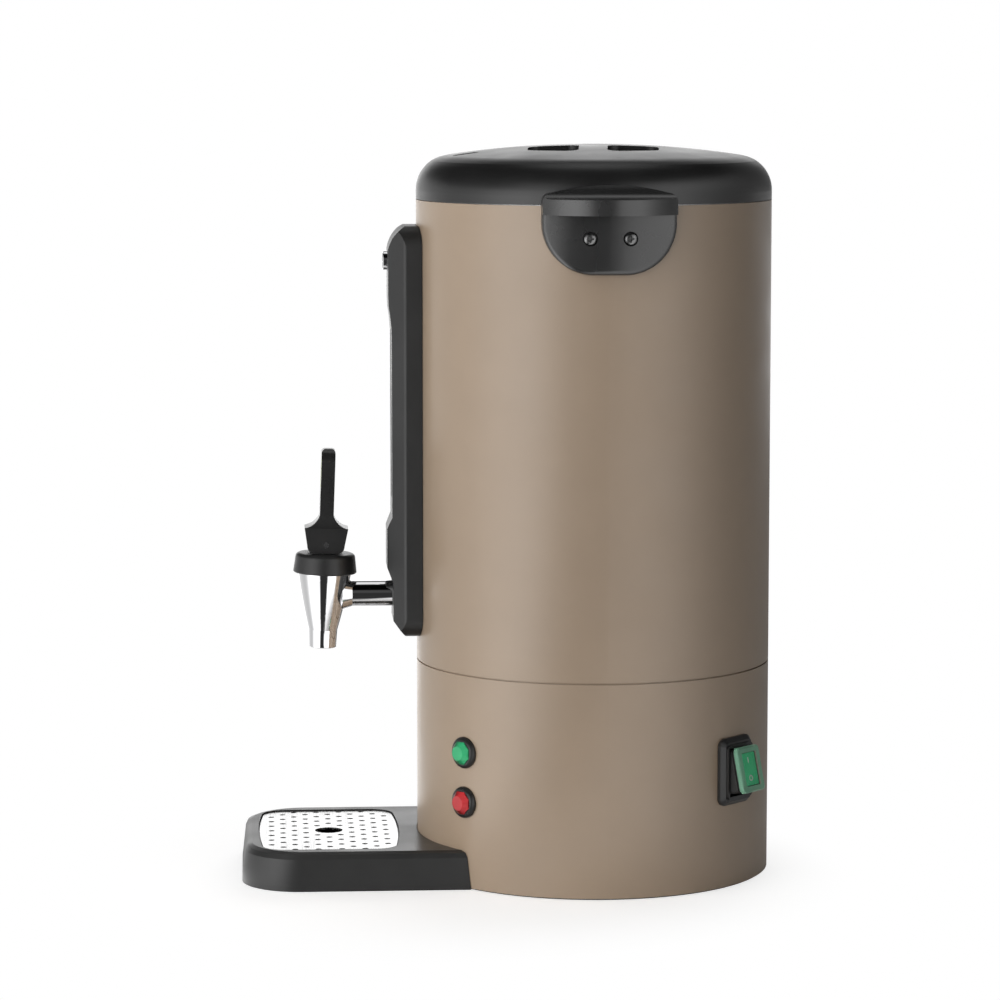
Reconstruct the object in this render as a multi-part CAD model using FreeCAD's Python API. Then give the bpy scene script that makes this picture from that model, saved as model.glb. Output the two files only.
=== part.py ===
import FreeCAD, Part
import math
import os

# A percolating coffee urn of about 7 litres, in millimetres and degrees.
# The origin is on the body's axis at table height. +Z is up, -Y is the tap side,
# and +X is the side with the pilot lamps and the power switch.

# Clearances
fit_gap = 0.3
slip_gap = 0.1
running_gap = 0.07

# Outer shell and base shell
body_radius = 107.5
body_wall = 1.2
shell_top = 408.3
shell_lip = 9.0
seam_height = 128.9
seam_gap = 1.0
spigot_height = 11.0
base_edge = 0.8
base_flange_height = 5.0
base_flange_width = 17.5

# Tank
tank_jacket = 11.5
tank_wall = 0.8
tank_rise = 21.1
tank_corner = 5.0
tank_rim_reach = 8.5
well_radius = 17.5
well_depth = 9.0

# Bottom plate and foot
plate_thickness = 1.2
plate_screw_count = 4
plate_screw_bite = 3.0
foot_width = 8.8
vent_count = 12
vent_length = 16.0
vent_width = 3.0
vent_circle = 66.0

# Heater, thermostat and cut-out
heater_plate_radius = 50.0
heater_plate_thickness = 3.0
heater_ring_radius = 34.0
heater_tube_radius = 4.0
heater_opening = 50.0
heater_leg_drop = 16.0
heater_pin_drop = 24.0
heater_leg_room = 1.0
clamp_thickness = 2.5
clamp_stud_circle = 44.5
clamp_stud_count = 3
clamp_stud_angle = 30.0
clamp_stud_radius = 2.5
clamp_stud_length = 20.0
clamp_nut_flats = 8.0
clamp_nut_height = 4.0
sensor_circle = 70.0
sensor_stud_spacing = 24.0
sensor_stud_radius = 1.5
sensor_stud_length = 8.0
sensor_ear_drop = 3.0
sensor_ear_thickness = 1.0
sensor_ear_width = 10.0
sensor_ear_flat = 1.0
sensor_tab_spacing = 8.0
sensor_tab_length = 7.0
thermostat_angle = 140.0
cutout_angle = 220.0
thermostat_height = 10.0
cutout_height = 7.5
sensor_radius = 8.5

# Lid
lid_gap = 0.4
lid_wall = 2.5
lid_dome = 32.5
lid_shoulder = 26.2
lid_shoulder_width = 19.3
lid_shoulder_rise = 0.5
lid_shoulder_lean = 0.15
lid_crown_share = 0.45
lid_crown_rise = 0.72
lid_edge_height = 5.3
lid_bend = 21.0
lid_bend_angle = 57.0
pocket_reach = 57.0
pocket_spread = 39.0
pocket_hub = 30.0
pocket_bar = 17.0
pocket_corner = 7.0
pocket_depth = 14.0
grip_angle = -5.5
vent_slot_length = 16.0
vent_slot_width = 8.0
vent_slot_reach = 80.0
vent_slot_angle = 12.0
seal_height = 2.5
seal_width = 5.5
seal_margin = 1.0
liner_thickness = 1.0
lid_screw_circle = 84.0
lid_screw_angle = 90.0
lid_screw_count = 3
lid_screw_length = 8.0
lid_boss_radius = 4.5

# Side handles
handle_half_width = 39.2
handle_crown_rise = 5.6
handle_rim_rise = 6.7
handle_drop = 39.6
handle_corner = 30.0
handle_pad = 8.7
handle_reach = 26.5
handle_bulge = 48.0
handle_lip_height = 9.1
handle_lip_drop = 4.7
handle_lip_wall = 4.0
handle_rim_back = 2.4
handle_rim_side = 3.0
handle_rim_run = 9.0
handle_rim_sag = 1.6
handle_dish_depth = 3.4
handle_shoulder_width = 5.0
handle_shoulder_drop = 4.0
handle_shoulder_rise = 1.0
handle_pad_edge = 3.0
handle_web = 3.2
handle_screw_rise = 21.1
handle_screw_spacing = 23.3
handle_counterbore = 4.3
handle_head_depth = 3.0

# Screws and nuts
m4_radius = 2.0
m4_head_radius = 3.8
m4_head_height = 2.4
m4_nut_flats = 7.0
m4_nut_height = 3.2
m3_radius = 1.5
m3_head_radius = 2.8
m3_head_height = 1.8
m3_nut_flats = 5.5
m3_nut_height = 2.4
thread_end = 2.0
cross_length = 4.2
cross_width = 0.9
cross_depth = 1.4
head_edge_share = 0.6
head_round_reach = 0.72
head_round_rise = 0.92

# Front column, with depths measured out from the body's surface
column_half_width = 25.0
column_foot_drop = 24.5
column_head_rise = 21.7
column_corner = 12.0
column_side_depth = 7.8
column_ridge = 3.0
column_front_half_width = 14.0
column_depth = 17.4
column_window_depth = 15.4
column_bulge_depth = 18.4
column_foot_depth = 14.9
column_foot_slope = 9.8
column_cap_depth = 7.3
column_cap_margin = 1.0
column_cap_bend_depth = 3.2
column_cap_bend_drop = 6.4
column_wall = 2.2
bulge_rise = 17.3
bulge_length = 27.0
bulge_slope = 9.0
bulge_end_drop = 3.0
window_start_rise = 4.0
window_drop = 30.2
brow_low = 14.0
brow_bend_low = 7.0
brow_bend_high = 2.0
brow_high = 9.0
brow_sag = 0.4
sight_slot_half_width = 4.5
sight_slot_margin_low = 15.0
sight_slot_margin_high = 11.0

# Sight glass
glass_radius = 4.5
glass_wall = 1.1
glass_depth = 6.6
glass_seal_height = 6.0
glass_seal_radius = 6.0
fitting_half_width = 12.0
fitting_drop = 10.2
fitting_rise = 18.3
bracket_half_width = 10.0
bracket_drop = 17.2
bracket_rise = 8.8
stud_drop = 37.1
stud_head_radius = 6.2
stud_head_height = 3.8
stud_dome = 1.4
stud_flat = 1.5
stud_round_reach = 0.75
stud_round_sag = 0.4
stud_radius = 3.0
column_nut_flats = 10.0
column_nut_height = 3.0

# Tap, drawn upright on its own axis and then leaned back
tap_reach = 56.5
tap_lean = 2.0
shank_rise = 18.7
shank_radius = 8.0
shank_bore = 5.0
shank_collar_radius = 10.0
shank_collar_place = 11.0
shank_collar_length = 6.0
shank_nut_flats = 24.0
shank_nut_height = 7.0
shank_end_margin = 1.5
spacer_radius = 14.0
gasket_height = 3.5
nozzle_drop = 32.5
nozzle_radius = 8.3
nozzle_bore = 6.6
nozzle_length = 10.8
nozzle_edge = 0.3
nozzle_flare = 0.5
cone_rise = 13.3
cone_top_radius = 16.2
cone_bulge = 0.7
chamber_radius = 12.6
chamber_drop = 10.7
seat_bore = 5.0
seat_radius = 9.4
seat_height = 6.0
seat_floor_depth = 3.0
bonnet_height = 12.0
bonnet_radius = 19.3
bonnet_top_radius = 18.2
bonnet_edge = 2.6
bonnet_foot_edge = 0.6
bonnet_roof_wall = 4.0
bonnet_spigot_length = 6.0
bonnet_spigot_wall = 2.0
cup_radius = 9.2
cup_height = 13.0
cup_tip_inset = 2.6
cup_tip_height = 6.5
stem_radius = 2.5
stem_eye_radius = 4.0
stem_foot_rise = 3.0
stem_foot_width = 1.6
stem_foot_height = 2.0
pin_rise = 5.7
pin_radius = 1.75
spring_radius = 6.8
spring_wall = 1.4

# Lever, with heights above the pin and distances from the tap's axis
lever_base_drop = 5.3
lever_cam_radius = 4.5
lever_cam_reach = 6.8
lever_wing_height = 10.0
lever_wing_reach = 13.2
lever_neck_height = 18.0
lever_top = 58.1
lever_half_thickness = 4.2
lever_base_half_width = 9.5
lever_neck_half_width = 7.5
lever_head_half_width = 10.5
lever_head_share = 0.8
lever_round_share = 0.72
lever_neck_flare = 0.6
lever_tip_edge = 2.5
lever_wing_run = 5.6
lever_wing_sag = 2.6
lever_slot_gap = 0.2
lever_eye_room = 0.5
lever_slot_depth = 6.5
inlay_half_width = 6.0
inlay_low = 34.0
inlay_high = 51.0
inlay_corner = 3.0
inlay_thickness = 0.8

# Pilot lamps
lamp_angle = -49.8
green_lamp_height = 82.4
red_lamp_height = 52.4
lamp_hole = 6.3
lamp_bezel_radius = 9.5
lamp_bezel_height = 3.0
lamp_bezel_edge = 2.5
lamp_barrel_length = 16.0
lamp_barrel_wall = 1.1
lens_radius = 6.7
lens_height = 3.2
lens_chamfer = 2.4
lens_sides = 8
lens_stem_margin = 4.0
lamp_nut_flats = 16.0
lamp_nut_height = 3.0

# Power switch
switch_angle = 47.0
switch_height = 70.8
bezel_width = 30.2
bezel_height = 40.6
bezel_corner = 5.0
bezel_proud = 3.6
bezel_slope = 2.4
frame_width = 24.6
frame_height = 32.6
frame_corner = 3.0
frame_proud = 5.2
switch_body_width = 24.0
switch_body_height = 32.0
switch_body_depth = 25.0
switch_wall = 1.35
switch_room_depth = 3.5
switch_pivot_proud = 3.0
rocker_tilt = 12.5
boot_width = 20.3
boot_height = 26.0
boot_inner = -3.0
boot_outer = 7.4
boot_corner = 2.0
boot_taper = 0.6
boot_step = 2.0
cap_width = 22.0
cap_height = 27.5
cap_outer = 10.2
cap_wall = 1.3
cap_corner = 3.0
cap_edge = 1.0
rocker_width = 13.6
rocker_height = 19.4
rocker_corner = 1.0
trunnion_radius = 1.5
trunnion_length = 0.9
switch_tab_length = 8.0
switch_tab_across = 6.0
switch_tab_up = 7.0
tab_half_width = 3.1
tab_half_thickness = 0.4

# Power inlet, at the back on the side away from the switch
inlet_angle = 133.0
inlet_height = 36.0
inlet_flange_width = 50.0
inlet_flange_height = 24.0
inlet_flange_proud = 3.4
inlet_flange_corner = 4.0
inlet_body_width = 27.0
inlet_body_height = 20.0
inlet_body_corner = 2.0
inlet_cavity_width = 24.4
inlet_cavity_height = 16.8
inlet_cavity_depth = 17.0
inlet_cavity_corner = 3.0
inlet_floor = 3.0
inlet_screw_spacing = 40.0
inlet_pin_width = 4.0
inlet_pin_thickness = 2.0
inlet_pin_length = 15.0
inlet_tab_length = 9.0
inlet_pin_spacing = 14.0
inlet_pin_rise = 2.0
inlet_screw_length = 12.0

# Terminal block and leads
block_length = 44.0
block_depth = 16.0
block_height = 14.0
block_ways = 5
block_y = 42.0
block_hole_height = 5.0
block_hole_radius = 1.5
block_screw_radius = 2.4
lead_radius = 1.3
lead_bend = 0.45
lead_reach = 8.0
lead_grip = 4.0

# Percolator
tube_radius = 5.5
tube_wall = 0.8
tube_drop = 10.3
bell_radius = 16.4
bell_lip = 3.0
bell_height = 15.0
basket_collar_radius = 9.0
basket_collar_height = 2.0
basket_drop = 69.0
basket_height = 50.0
basket_radius = 52.0
basket_wall = 0.8
basket_sleeve_radius = 7.0
cover_thickness = 0.8
cover_rim = 5.0
strainer_hole = 1.5
strainer_margin = 3.0
strainer_start = 0.6
basket_sleeve_drop = 4.0
bell_shift = 0.3
strainer_pitch = 9.0

# Drip tray and grid
tray_front = 215.0
tray_height = 23.0
tray_half_width = 74.0
tray_draft = 2.6
tray_corner = 36.0
tray_edge = 4.0
tray_edge_bend = 0.3
tray_wall = 2.5
tray_body_gap = 0.5
well_front_margin = 10.0
well_length = 86.0
well_half_width = 60.6
well_corner = 14.0
well_bow = 3.5
well_ledge = 2.5
well_floor = 3.4
grid_gap = 0.8
grid_thickness = 1.2
grid_recess = 0.8
grid_hole_radius = 1.85
grid_drain_radius = 8.5
grid_columns = 11
grid_column_pitch = 7.0
grid_row_pitch = 14.0
grid_margin = 3.0
grid_corner = 17.0
tongue_width = 40.0
tongue_height = 3.0
tongue_low = 12.0
tongue_reach = 8.0

# Worked-out places
inner_radius = body_radius - body_wall
tank_radius = body_radius - tank_jacket
tank_floor = seam_height + tank_rise
tank_inside = tank_radius - tank_wall
rim_height = shell_top + tank_wall
rim_radius = tank_radius + tank_rim_reach
tank_underside = tank_floor - tank_wall
lid_bottom = shell_top + lid_gap
liner_low = rim_height + seal_height
liner_high = liner_low + liner_thickness
handle_top_side = shell_top + handle_rim_rise
handle_top = handle_top_side + handle_crown_rise
handle_bottom = shell_top - handle_drop
handle_lip_low = shell_top - handle_lip_drop
handle_lip_high = handle_lip_low + handle_lip_height
handle_dish_low = handle_top_side - handle_dish_depth
handle_roof = handle_dish_low - handle_web
handle_screw_height = handle_bottom + handle_screw_rise
shank_height = tank_floor + shank_rise
stud_height = shell_top - stud_drop
column_bottom = shank_height - column_foot_drop
column_top = stud_height + column_head_rise
bulge_bottom = shank_height + bulge_rise
window_bottom = bulge_bottom + bulge_length
window_top = stud_height - window_drop
fitting_low = shank_height - fitting_drop
fitting_high = shank_height + fitting_rise
bracket_low = stud_height - bracket_drop
bracket_high = stud_height + bracket_rise
tap_y = -(body_radius + tap_reach)
nozzle_bottom = shank_height - nozzle_drop
cone_neck = nozzle_bottom + nozzle_length
cone_top = shank_height + cone_rise
chamber_floor = shank_height - chamber_drop
bonnet_top = cone_top + bonnet_height
bonnet_roof = bonnet_top - bonnet_roof_wall
bonnet_spigot_low = cone_top - bonnet_spigot_length
pin_height = bonnet_top + pin_rise
pivot_x = body_radius + switch_pivot_proud
glass_y = -(body_radius + glass_depth)
shank_end_y = -(tank_inside - gasket_height - shank_nut_height - shank_end_margin)
nut_face_y = -(tank_inside - gasket_height)
tube_top = shell_top - tube_drop
basket_low = tube_top - basket_drop
basket_high = basket_low + basket_height
well_bottom = tank_floor - well_depth
clamp_high = tank_underside - heater_plate_thickness - 2 * heater_tube_radius - 2 * slip_gap
plate_high = base_flange_height
plate_low = plate_high - plate_thickness
plate_radius = body_radius - body_wall - foot_width - fit_gap
grid_high = tray_height - grid_recess
grid_low = grid_high - grid_thickness
well_back_y = -(tray_front - well_front_margin - well_length)
well_front_y = -(tray_front - well_front_margin)
well_centre_y = (well_back_y + well_front_y) / 2


def vector(point):
    return FreeCAD.Vector(*point)


def rod(radius, start, end):
    """Cylinder between two points."""
    line = vector(end) - vector(start)
    return Part.makeCylinder(radius, line.Length, vector(start), line)


def ring(outer, inner, low, high):
    """Upright tube about the body's axis."""
    wall = rod(outer, (0, 0, low), (0, 0, high))
    return wall.cut(rod(inner, (0, 0, low - 1), (0, 0, high + 1)))


def box(x, y, z):
    """Block between pairs of low and high values."""
    corner = FreeCAD.Vector(x[0], y[0], z[0])
    return Part.makeBox(x[1] - x[0], y[1] - y[0], z[1] - z[0], corner)


def outline(steps, place):
    """Closed wire; a step is an end point, or an arc's middle and end points."""
    edges = []
    start = here = place(*steps[0])
    for step in steps[1:]:
        if isinstance(step[0], tuple):
            middle, end = place(*step[0]), place(*step[1])
            edges.append(Part.Arc(here, middle, end).toShape())
        else:
            end = place(*step)
            edges.append(Part.makeLine(here, end))
        here = end
    if here.distanceToPoint(start) > 1e-6:
        edges.append(Part.makeLine(here, start))
    return Part.Wire(edges)


def revolved(steps):
    """Solid turned about the body's axis from an outline of radius and height."""
    wire = outline(steps, lambda radius, height: FreeCAD.Vector(radius, 0, height))
    return Part.Face(wire).revolve(FreeCAD.Vector(0, 0, 0), FreeCAD.Vector(0, 0, 1), 360)


def extruded(steps, place, direction):
    """Prism along a direction from an outline."""
    return Part.Face(outline(steps, place)).extrude(FreeCAD.Vector(*direction))


def upright_edges(block):
    """Straight edges of a block that run along Z."""
    return [edge for edge in block.Edges if abs(edge.tangentAt(edge.FirstParameter).z) > 0.9]


def rounded(half_length, half_width, corner, low, high, centre=(0, 0)):
    """Upright block with four rounded corners."""
    x, y = centre
    block = box((x - half_length, x + half_length), (y - half_width, y + half_width), (low, high))
    return block.makeFillet(corner, upright_edges(block))


def plate_x(width, height, corner, low, high, centre_z):
    """Rounded rectangular block that faces +X, about the XZ plane."""
    block = rounded(height / 2, width / 2, corner, low, high)
    block.rotate(FreeCAD.Vector(0, 0, 0), FreeCAD.Vector(0, 1, 0), 90)
    block.translate(FreeCAD.Vector(0, 0, centre_z))
    return block


def hexagon(flats, start, end, sides=6):
    """Prism with flat sides between two points on its axis."""
    line = vector(end) - vector(start)
    radius = flats / 2 / math.cos(math.pi / sides)
    corners = [FreeCAD.Vector(radius * math.cos(2 * math.pi * (i + 0.5) / sides),
                              radius * math.sin(2 * math.pi * (i + 0.5) / sides), 0)
               for i in range(sides)]
    prism = Part.Face(Part.makePolygon(corners + corners[:1])).extrude(FreeCAD.Vector(0, 0, line.Length))
    prism.Placement = FreeCAD.Placement(vector(start), FreeCAD.Rotation(FreeCAD.Vector(0, 0, 1), line))
    return prism


def turned(shape, angle):
    """Copy turned about the body's axis."""
    copy = shape.copy()
    copy.rotate(FreeCAD.Vector(0, 0, 0), FreeCAD.Vector(0, 0, 1), angle)
    return copy


def moved(shape, offset):
    copy = shape.copy()
    copy.translate(vector(offset))
    return copy


def leaned(shape):
    """Piece drawn on the origin's axis, set on the tap's axis."""
    copy = shape.copy()
    copy.rotate(FreeCAD.Vector(0, 0, shank_height), FreeCAD.Vector(1, 0, 0), -tap_lean)
    copy.translate(FreeCAD.Vector(0, tap_y, 0))
    return copy


def cylinder_outside(radius):
    """Everything within the body's axis to a radius, tall enough to cut any piece."""
    return rod(radius, (0, 0, -lid_gap), (0, 0, 2 * shell_top))


def front_rod(radius, height, inner, outer):
    """Rod along Y between two distances from the body's axis, on the tap side."""
    return rod(radius, (0, -inner, height), (0, -outer, height))


def yz(x):
    return lambda y, z: FreeCAD.Vector(x, y, z)


def xz(y):
    return lambda x, z: FreeCAD.Vector(x, y, z)


def xy(z):
    return lambda x, y: FreeCAD.Vector(x, y, z)


def handle_screw_points():
    """Places of one handle's screws, as Y and Z."""
    return [(side * handle_screw_spacing / 2, handle_screw_height) for side in (-1, 1)]


def outer_shell():
    """Painted wall with a lip turned in at its top."""
    bottom = seam_height + seam_gap / 2
    lip_radius = body_radius - shell_lip
    shell = revolved([
        (inner_radius, bottom),
        (body_radius, bottom),
        (body_radius, shell_top),
        (lip_radius, shell_top),
        (lip_radius, shell_top - body_wall),
        (inner_radius, shell_top - body_wall)])
    holes = [front_rod(shank_radius + slip_gap, shank_height, tank_radius, body_radius + 1),
             front_rod(stud_radius + slip_gap, stud_height, tank_radius, body_radius + 1)]
    for y, z in handle_screw_points():
        for side in (-1, 1):
            holes.append(rod(m4_radius + slip_gap, (side * tank_radius, y, z), (side * body_radius, y, z)))
    return shell.cut(holes)


def base_shell():
    """Painted skirt with a spigot inside the outer shell and a flange for the bottom plate."""
    top = seam_height - seam_gap / 2
    spigot_outer = inner_radius - slip_gap
    spigot_inner = spigot_outer - body_wall
    flange_radius = body_radius - base_flange_width
    shell = revolved([
        (body_radius, base_edge),
        (body_radius, top),
        (spigot_outer, top),
        (spigot_outer, top + spigot_height),
        (spigot_inner, top + spigot_height),
        (spigot_inner, top - body_wall),
        (inner_radius, top - 2 * body_wall),
        (inner_radius, base_flange_height + body_wall),
        (flange_radius, base_flange_height + body_wall),
        (flange_radius, base_flange_height),
        (inner_radius, base_flange_height),
        (inner_radius, base_edge)])
    holes = [turned(rod(lamp_hole, (tank_radius, 0, height), (body_radius + 1, 0, height)), lamp_angle)
             for height in (green_lamp_height, red_lamp_height)]
    holes.append(turned(box((tank_radius, body_radius + 1),
                            (-switch_body_width / 2 - fit_gap, switch_body_width / 2 + fit_gap),
                            (switch_height - switch_body_height / 2 - fit_gap,
                             switch_height + switch_body_height / 2 + fit_gap)), switch_angle))
    holes.append(turned(box((tank_radius, body_radius + 1),
                            (-inlet_body_width / 2 - fit_gap, inlet_body_width / 2 + fit_gap),
                            (inlet_height - inlet_body_height / 2 - fit_gap,
                             inlet_height + inlet_body_height / 2 + fit_gap)), inlet_angle))
    for side in (-1, 1):
        y = side * inlet_screw_spacing / 2
        holes.append(turned(rod(m3_radius + slip_gap, (tank_radius, y, inlet_height),
                                (body_radius + 1, y, inlet_height)), inlet_angle))
    holes.append(box((-tongue_width / 2 - fit_gap, tongue_width / 2 + fit_gap),
                     (-body_radius - 1, -tank_radius),
                     (tongue_low - fit_gap, tongue_low + tongue_height + fit_gap)))
    holes += [rod(m3_radius + slip_gap, (x, y, 0), (x, y, 2 * base_flange_height))
              for x, y in plate_screw_points()]
    return shell.cut(holes)


def plate_screw_points():
    """Places of the bottom plate's screws, in the strip where it laps the base shell's flange."""
    radius = (plate_radius + body_radius - base_flange_width) / 2
    angles = [math.radians(45 + 360 * i / plate_screw_count) for i in range(plate_screw_count)]
    return [(radius * math.cos(angle), radius * math.sin(angle)) for angle in angles]


def base_plate():
    """Bottom plate with a ring of vent slots."""
    plate = rod(plate_radius, (0, 0, plate_low), (0, 0, plate_high))
    cuts = []
    for i in range(vent_count):
        slot = rounded(vent_length / 2, vent_width / 2, vent_width / 2 - 0.1,
                       plate_low - 1, plate_high + 1, (vent_circle, 0))
        cuts.append(turned(slot, 360 * i / vent_count))
    cuts += [rod(m3_radius + slip_gap, (x, y, 0), (x, y, 2 * plate_high)) for x, y in plate_screw_points()]
    return plate.cut(cuts)


def base_screws():
    """Screws that hold the bottom plate to the base shell's flange, from below."""
    length = plate_thickness + body_wall + plate_screw_bite
    return [pan_screw(m3_radius, m3_head_radius, m3_head_height, length, (x, y, plate_low), (0, 0, -1))
            for x, y in plate_screw_points()]


def foot_ring():
    """Rubber ring under the base shell's flange, which the urn stands on."""
    outer = inner_radius - slip_gap
    return ring(outer, outer - foot_width + fit_gap, 0, base_flange_height)


def pan_screw(radius, head_radius, head_height, length, seat, direction, crossed=True):
    """Round-headed screw; the head stands from its seat along the direction."""
    low = head_edge_share * head_height
    head = revolved([
        (0, 0),
        (head_radius, 0),
        (head_radius, low),
        ((head_round_reach * head_radius, head_round_rise * head_height), (0, head_height))])
    screw = head.fuse(rod(radius, (0, 0, -length), (0, 0, 0)))
    if crossed:
        arm, half = cross_length / 2 * head_radius / m4_head_radius, cross_width / 2
        floor = head_height - cross_depth * head_height / m4_head_height
        slots = [box((-arm, arm), (-half, half), (floor, head_height + 1)),
                 box((-half, half), (-arm, arm), (floor, head_height + 1))]
        screw = screw.cut(slots)
    screw.Placement = FreeCAD.Placement(vector(seat),
                                        FreeCAD.Rotation(FreeCAD.Vector(0, 0, 1), vector(direction)))
    return screw


def clamp_stud_points():
    angles = [math.radians(clamp_stud_angle + 360 * i / clamp_stud_count) for i in range(clamp_stud_count)]
    return [(clamp_stud_circle * math.cos(a), clamp_stud_circle * math.sin(a)) for a in angles]


def sensor_stud_points(angle):
    """Places of the two studs beside the thermostat or the cut-out."""
    points = []
    for side in (-1, 1):
        spot = turned(Part.Vertex(sensor_circle, side * sensor_stud_spacing / 2, 0), angle)
        points.append((spot.Point.x, spot.Point.y))
    return points


def inner_tank():
    """Drawn steel tank with a rim, a well for the pump's bell, and welded studs below."""
    corner = tank_corner
    bend = corner * (1 - math.sqrt(0.5))
    outside, inside = tank_radius, tank_inside
    step = tank_wall
    tank = revolved([
        (0, well_bottom - step),
        (well_radius + step, well_bottom - step),
        (well_radius + step, tank_underside),
        (outside - corner, tank_underside),
        ((outside - bend, tank_underside + bend), (outside, tank_underside + corner)),
        (outside, shell_top),
        (rim_radius, shell_top),
        (rim_radius, rim_height),
        (inside, rim_height),
        (inside, tank_underside + corner),
        ((outside - bend - step * math.sqrt(0.5), tank_underside + bend + step * math.sqrt(0.5)),
         (outside - corner, tank_floor)),
        (well_radius, tank_floor),
        (well_radius, well_bottom),
        (0, well_bottom)])
    studs = [rod(clamp_stud_radius, (x, y, tank_underside), (x, y, tank_underside - clamp_stud_length))
             for x, y in clamp_stud_points()]
    low = tank_underside - sensor_stud_length
    for angle in (thermostat_angle, cutout_angle):
        studs += [rod(sensor_stud_radius, (x, y, low), (x, y, tank_underside))
                  for x, y in sensor_stud_points(angle)]
    hole = front_rod(shank_radius + slip_gap, shank_height, tank_inside / 2, body_radius)
    return tank.fuse(studs).cut(hole)


def heater_plate():
    """Aluminium disc under the tank that spreads the heat."""
    high = tank_underside
    plate = ring(heater_plate_radius, well_radius + tank_wall + fit_gap, high - heater_plate_thickness, high)
    return plate.cut([rod(clamp_stud_radius + slip_gap, (x, y, 0), (x, y, high + 1))
                      for x, y in clamp_stud_points()])


def heater_element():
    """Ring of sheathed tube with an open sector, whose two ends turn down."""
    height = tank_underside - heater_plate_thickness - heater_tube_radius - slip_gap
    sweep = 360 - heater_opening
    tube = Part.makeTorus(heater_ring_radius, heater_tube_radius, FreeCAD.Vector(0, 0, height),
                          FreeCAD.Vector(0, 0, 1), -180, 180, sweep)
    tube = turned(tube, heater_opening / 2)
    pieces = []
    for angle in (heater_opening / 2, -heater_opening / 2):
        x = heater_ring_radius * math.cos(math.radians(angle))
        y = heater_ring_radius * math.sin(math.radians(angle))
        pieces.append(Part.makeSphere(heater_tube_radius, FreeCAD.Vector(x, y, height)))
        pieces.append(rod(heater_tube_radius, (x, y, height), (x, y, height - heater_leg_drop)))
        pieces.append(rod(m4_radius, (x, y, height), (x, y, height - heater_pin_drop)))
    return tube.fuse(pieces)


def heater_clamp():
    """Plate that presses the element up, cut away at the element's legs."""
    low = clamp_high - clamp_thickness
    plate = ring(heater_plate_radius, well_radius + tank_wall + fit_gap, low, clamp_high)
    cuts = [rod(clamp_stud_radius + slip_gap, (x, y, 0), (x, y, tank_floor)) for x, y in clamp_stud_points()]
    reach = heater_ring_radius + heater_tube_radius + heater_leg_room
    leg_y = heater_ring_radius * math.sin(math.radians(heater_opening / 2))
    half = leg_y + heater_tube_radius + heater_leg_room
    cuts.append(box((well_radius, reach), (-half, half), (0, tank_floor)))
    return plate.cut(cuts)


def clamp_nuts():
    high = clamp_high - clamp_thickness
    nuts = []
    for x, y in clamp_stud_points():
        nut = hexagon(clamp_nut_flats, (x, y, high - clamp_nut_height), (x, y, high))
        nuts.append(nut.cut(rod(clamp_stud_radius + slip_gap, (x, y, 0), (x, y, tank_floor))))
    return nuts


def sensor(angle, height):
    """Round bimetal switch pressed to the tank's underside by a two-eared plate."""
    low = tank_underside - height
    body = rod(sensor_radius, (sensor_circle, 0, low), (sensor_circle, 0, tank_underside))
    ear_low = tank_underside - sensor_ear_drop
    half = sensor_ear_width / 2
    ears = rounded(half, sensor_stud_spacing / 2 + half, half - sensor_ear_flat,
                   ear_low, ear_low + sensor_ear_thickness, (sensor_circle, 0))
    holes = [rod(sensor_stud_radius + slip_gap, (sensor_circle, side * sensor_stud_spacing / 2, 0),
                 (sensor_circle, side * sensor_stud_spacing / 2, tank_floor)) for side in (-1, 1)]
    tabs = [box((x - tab_half_thickness, x + tab_half_thickness), (-tab_half_width, tab_half_width),
                (low - sensor_tab_length, low + tab_half_thickness))
            for x in (sensor_circle - sensor_tab_spacing / 2, sensor_circle + sensor_tab_spacing / 2)]
    return turned(body.fuse([ears] + tabs).cut(holes), angle)


def thermostat():
    return sensor(thermostat_angle, thermostat_height)


def thermal_cutout():
    return sensor(cutout_angle, cutout_height)


def sensor_nuts():
    nuts = []
    high = tank_underside - sensor_ear_drop
    for angle in (thermostat_angle, cutout_angle):
        for x, y in sensor_stud_points(angle):
            nut = hexagon(m3_nut_flats, (x, y, high - m3_nut_height), (x, y, high))
            nuts.append(nut.cut(rod(sensor_stud_radius + slip_gap, (x, y, 0), (x, y, tank_floor))))
    return nuts


def terminal_block():
    """Ceramic block on the bottom plate, with wire holes from the side and screw wells above."""
    low = plate_high
    block = box((-block_length / 2, block_length / 2),
                (block_y - block_depth / 2, block_y + block_depth / 2),
                (low, low + block_height))
    cuts = []
    for i in range(block_ways):
        x = block_way_x(i)
        z = low + block_hole_height
        cuts.append(rod(block_hole_radius, (x, block_y - block_depth, z), (x, block_y + block_depth, z)))
        cuts.append(rod(block_screw_radius, (x, block_y, z), (x, block_y, low + block_height + 1)))
    return block.cut(cuts)


def block_way_x(index):
    """Place along X of one way of the terminal block."""
    return block_length * ((index + 0.5) / block_ways - 0.5)


def lead(points):
    """Insulated wire along straight runs joined by tangent arcs."""
    spots = [vector(point) for point in points]
    edges = []
    here = spots[0]
    for before, corner, after in zip(spots, spots[1:], spots[2:]):
        run_in, run_out = (corner - before), (after - corner)
        turn = run_in.getAngle(run_out)
        cut = lead_bend * min(run_in.Length, run_out.Length)
        start = corner - run_in.normalize() * cut
        end = corner + run_out.normalize() * cut
        radius = cut / math.tan(turn / 2)
        bisector = (start + end) * 0.5 - corner
        depth = radius / math.cos(turn / 2) - radius
        middle = corner + bisector.normalize() * depth
        edges.append(Part.makeLine(here, start))
        edges.append(Part.Arc(start, middle, end).toShape())
        here = end
    edges.append(Part.makeLine(here, spots[-1]))
    path = Part.Wire(edges)
    circle = Part.Circle(spots[0], spots[1] - spots[0], lead_radius).toShape()
    return path.makePipeShell([Part.Wire(circle)], True, False)


def about(point, angle):
    """Point turned about the body's axis, as plain numbers."""
    spot = turned(Part.Vertex(*point), angle).Point
    return spot.x, spot.y, spot.z


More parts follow.
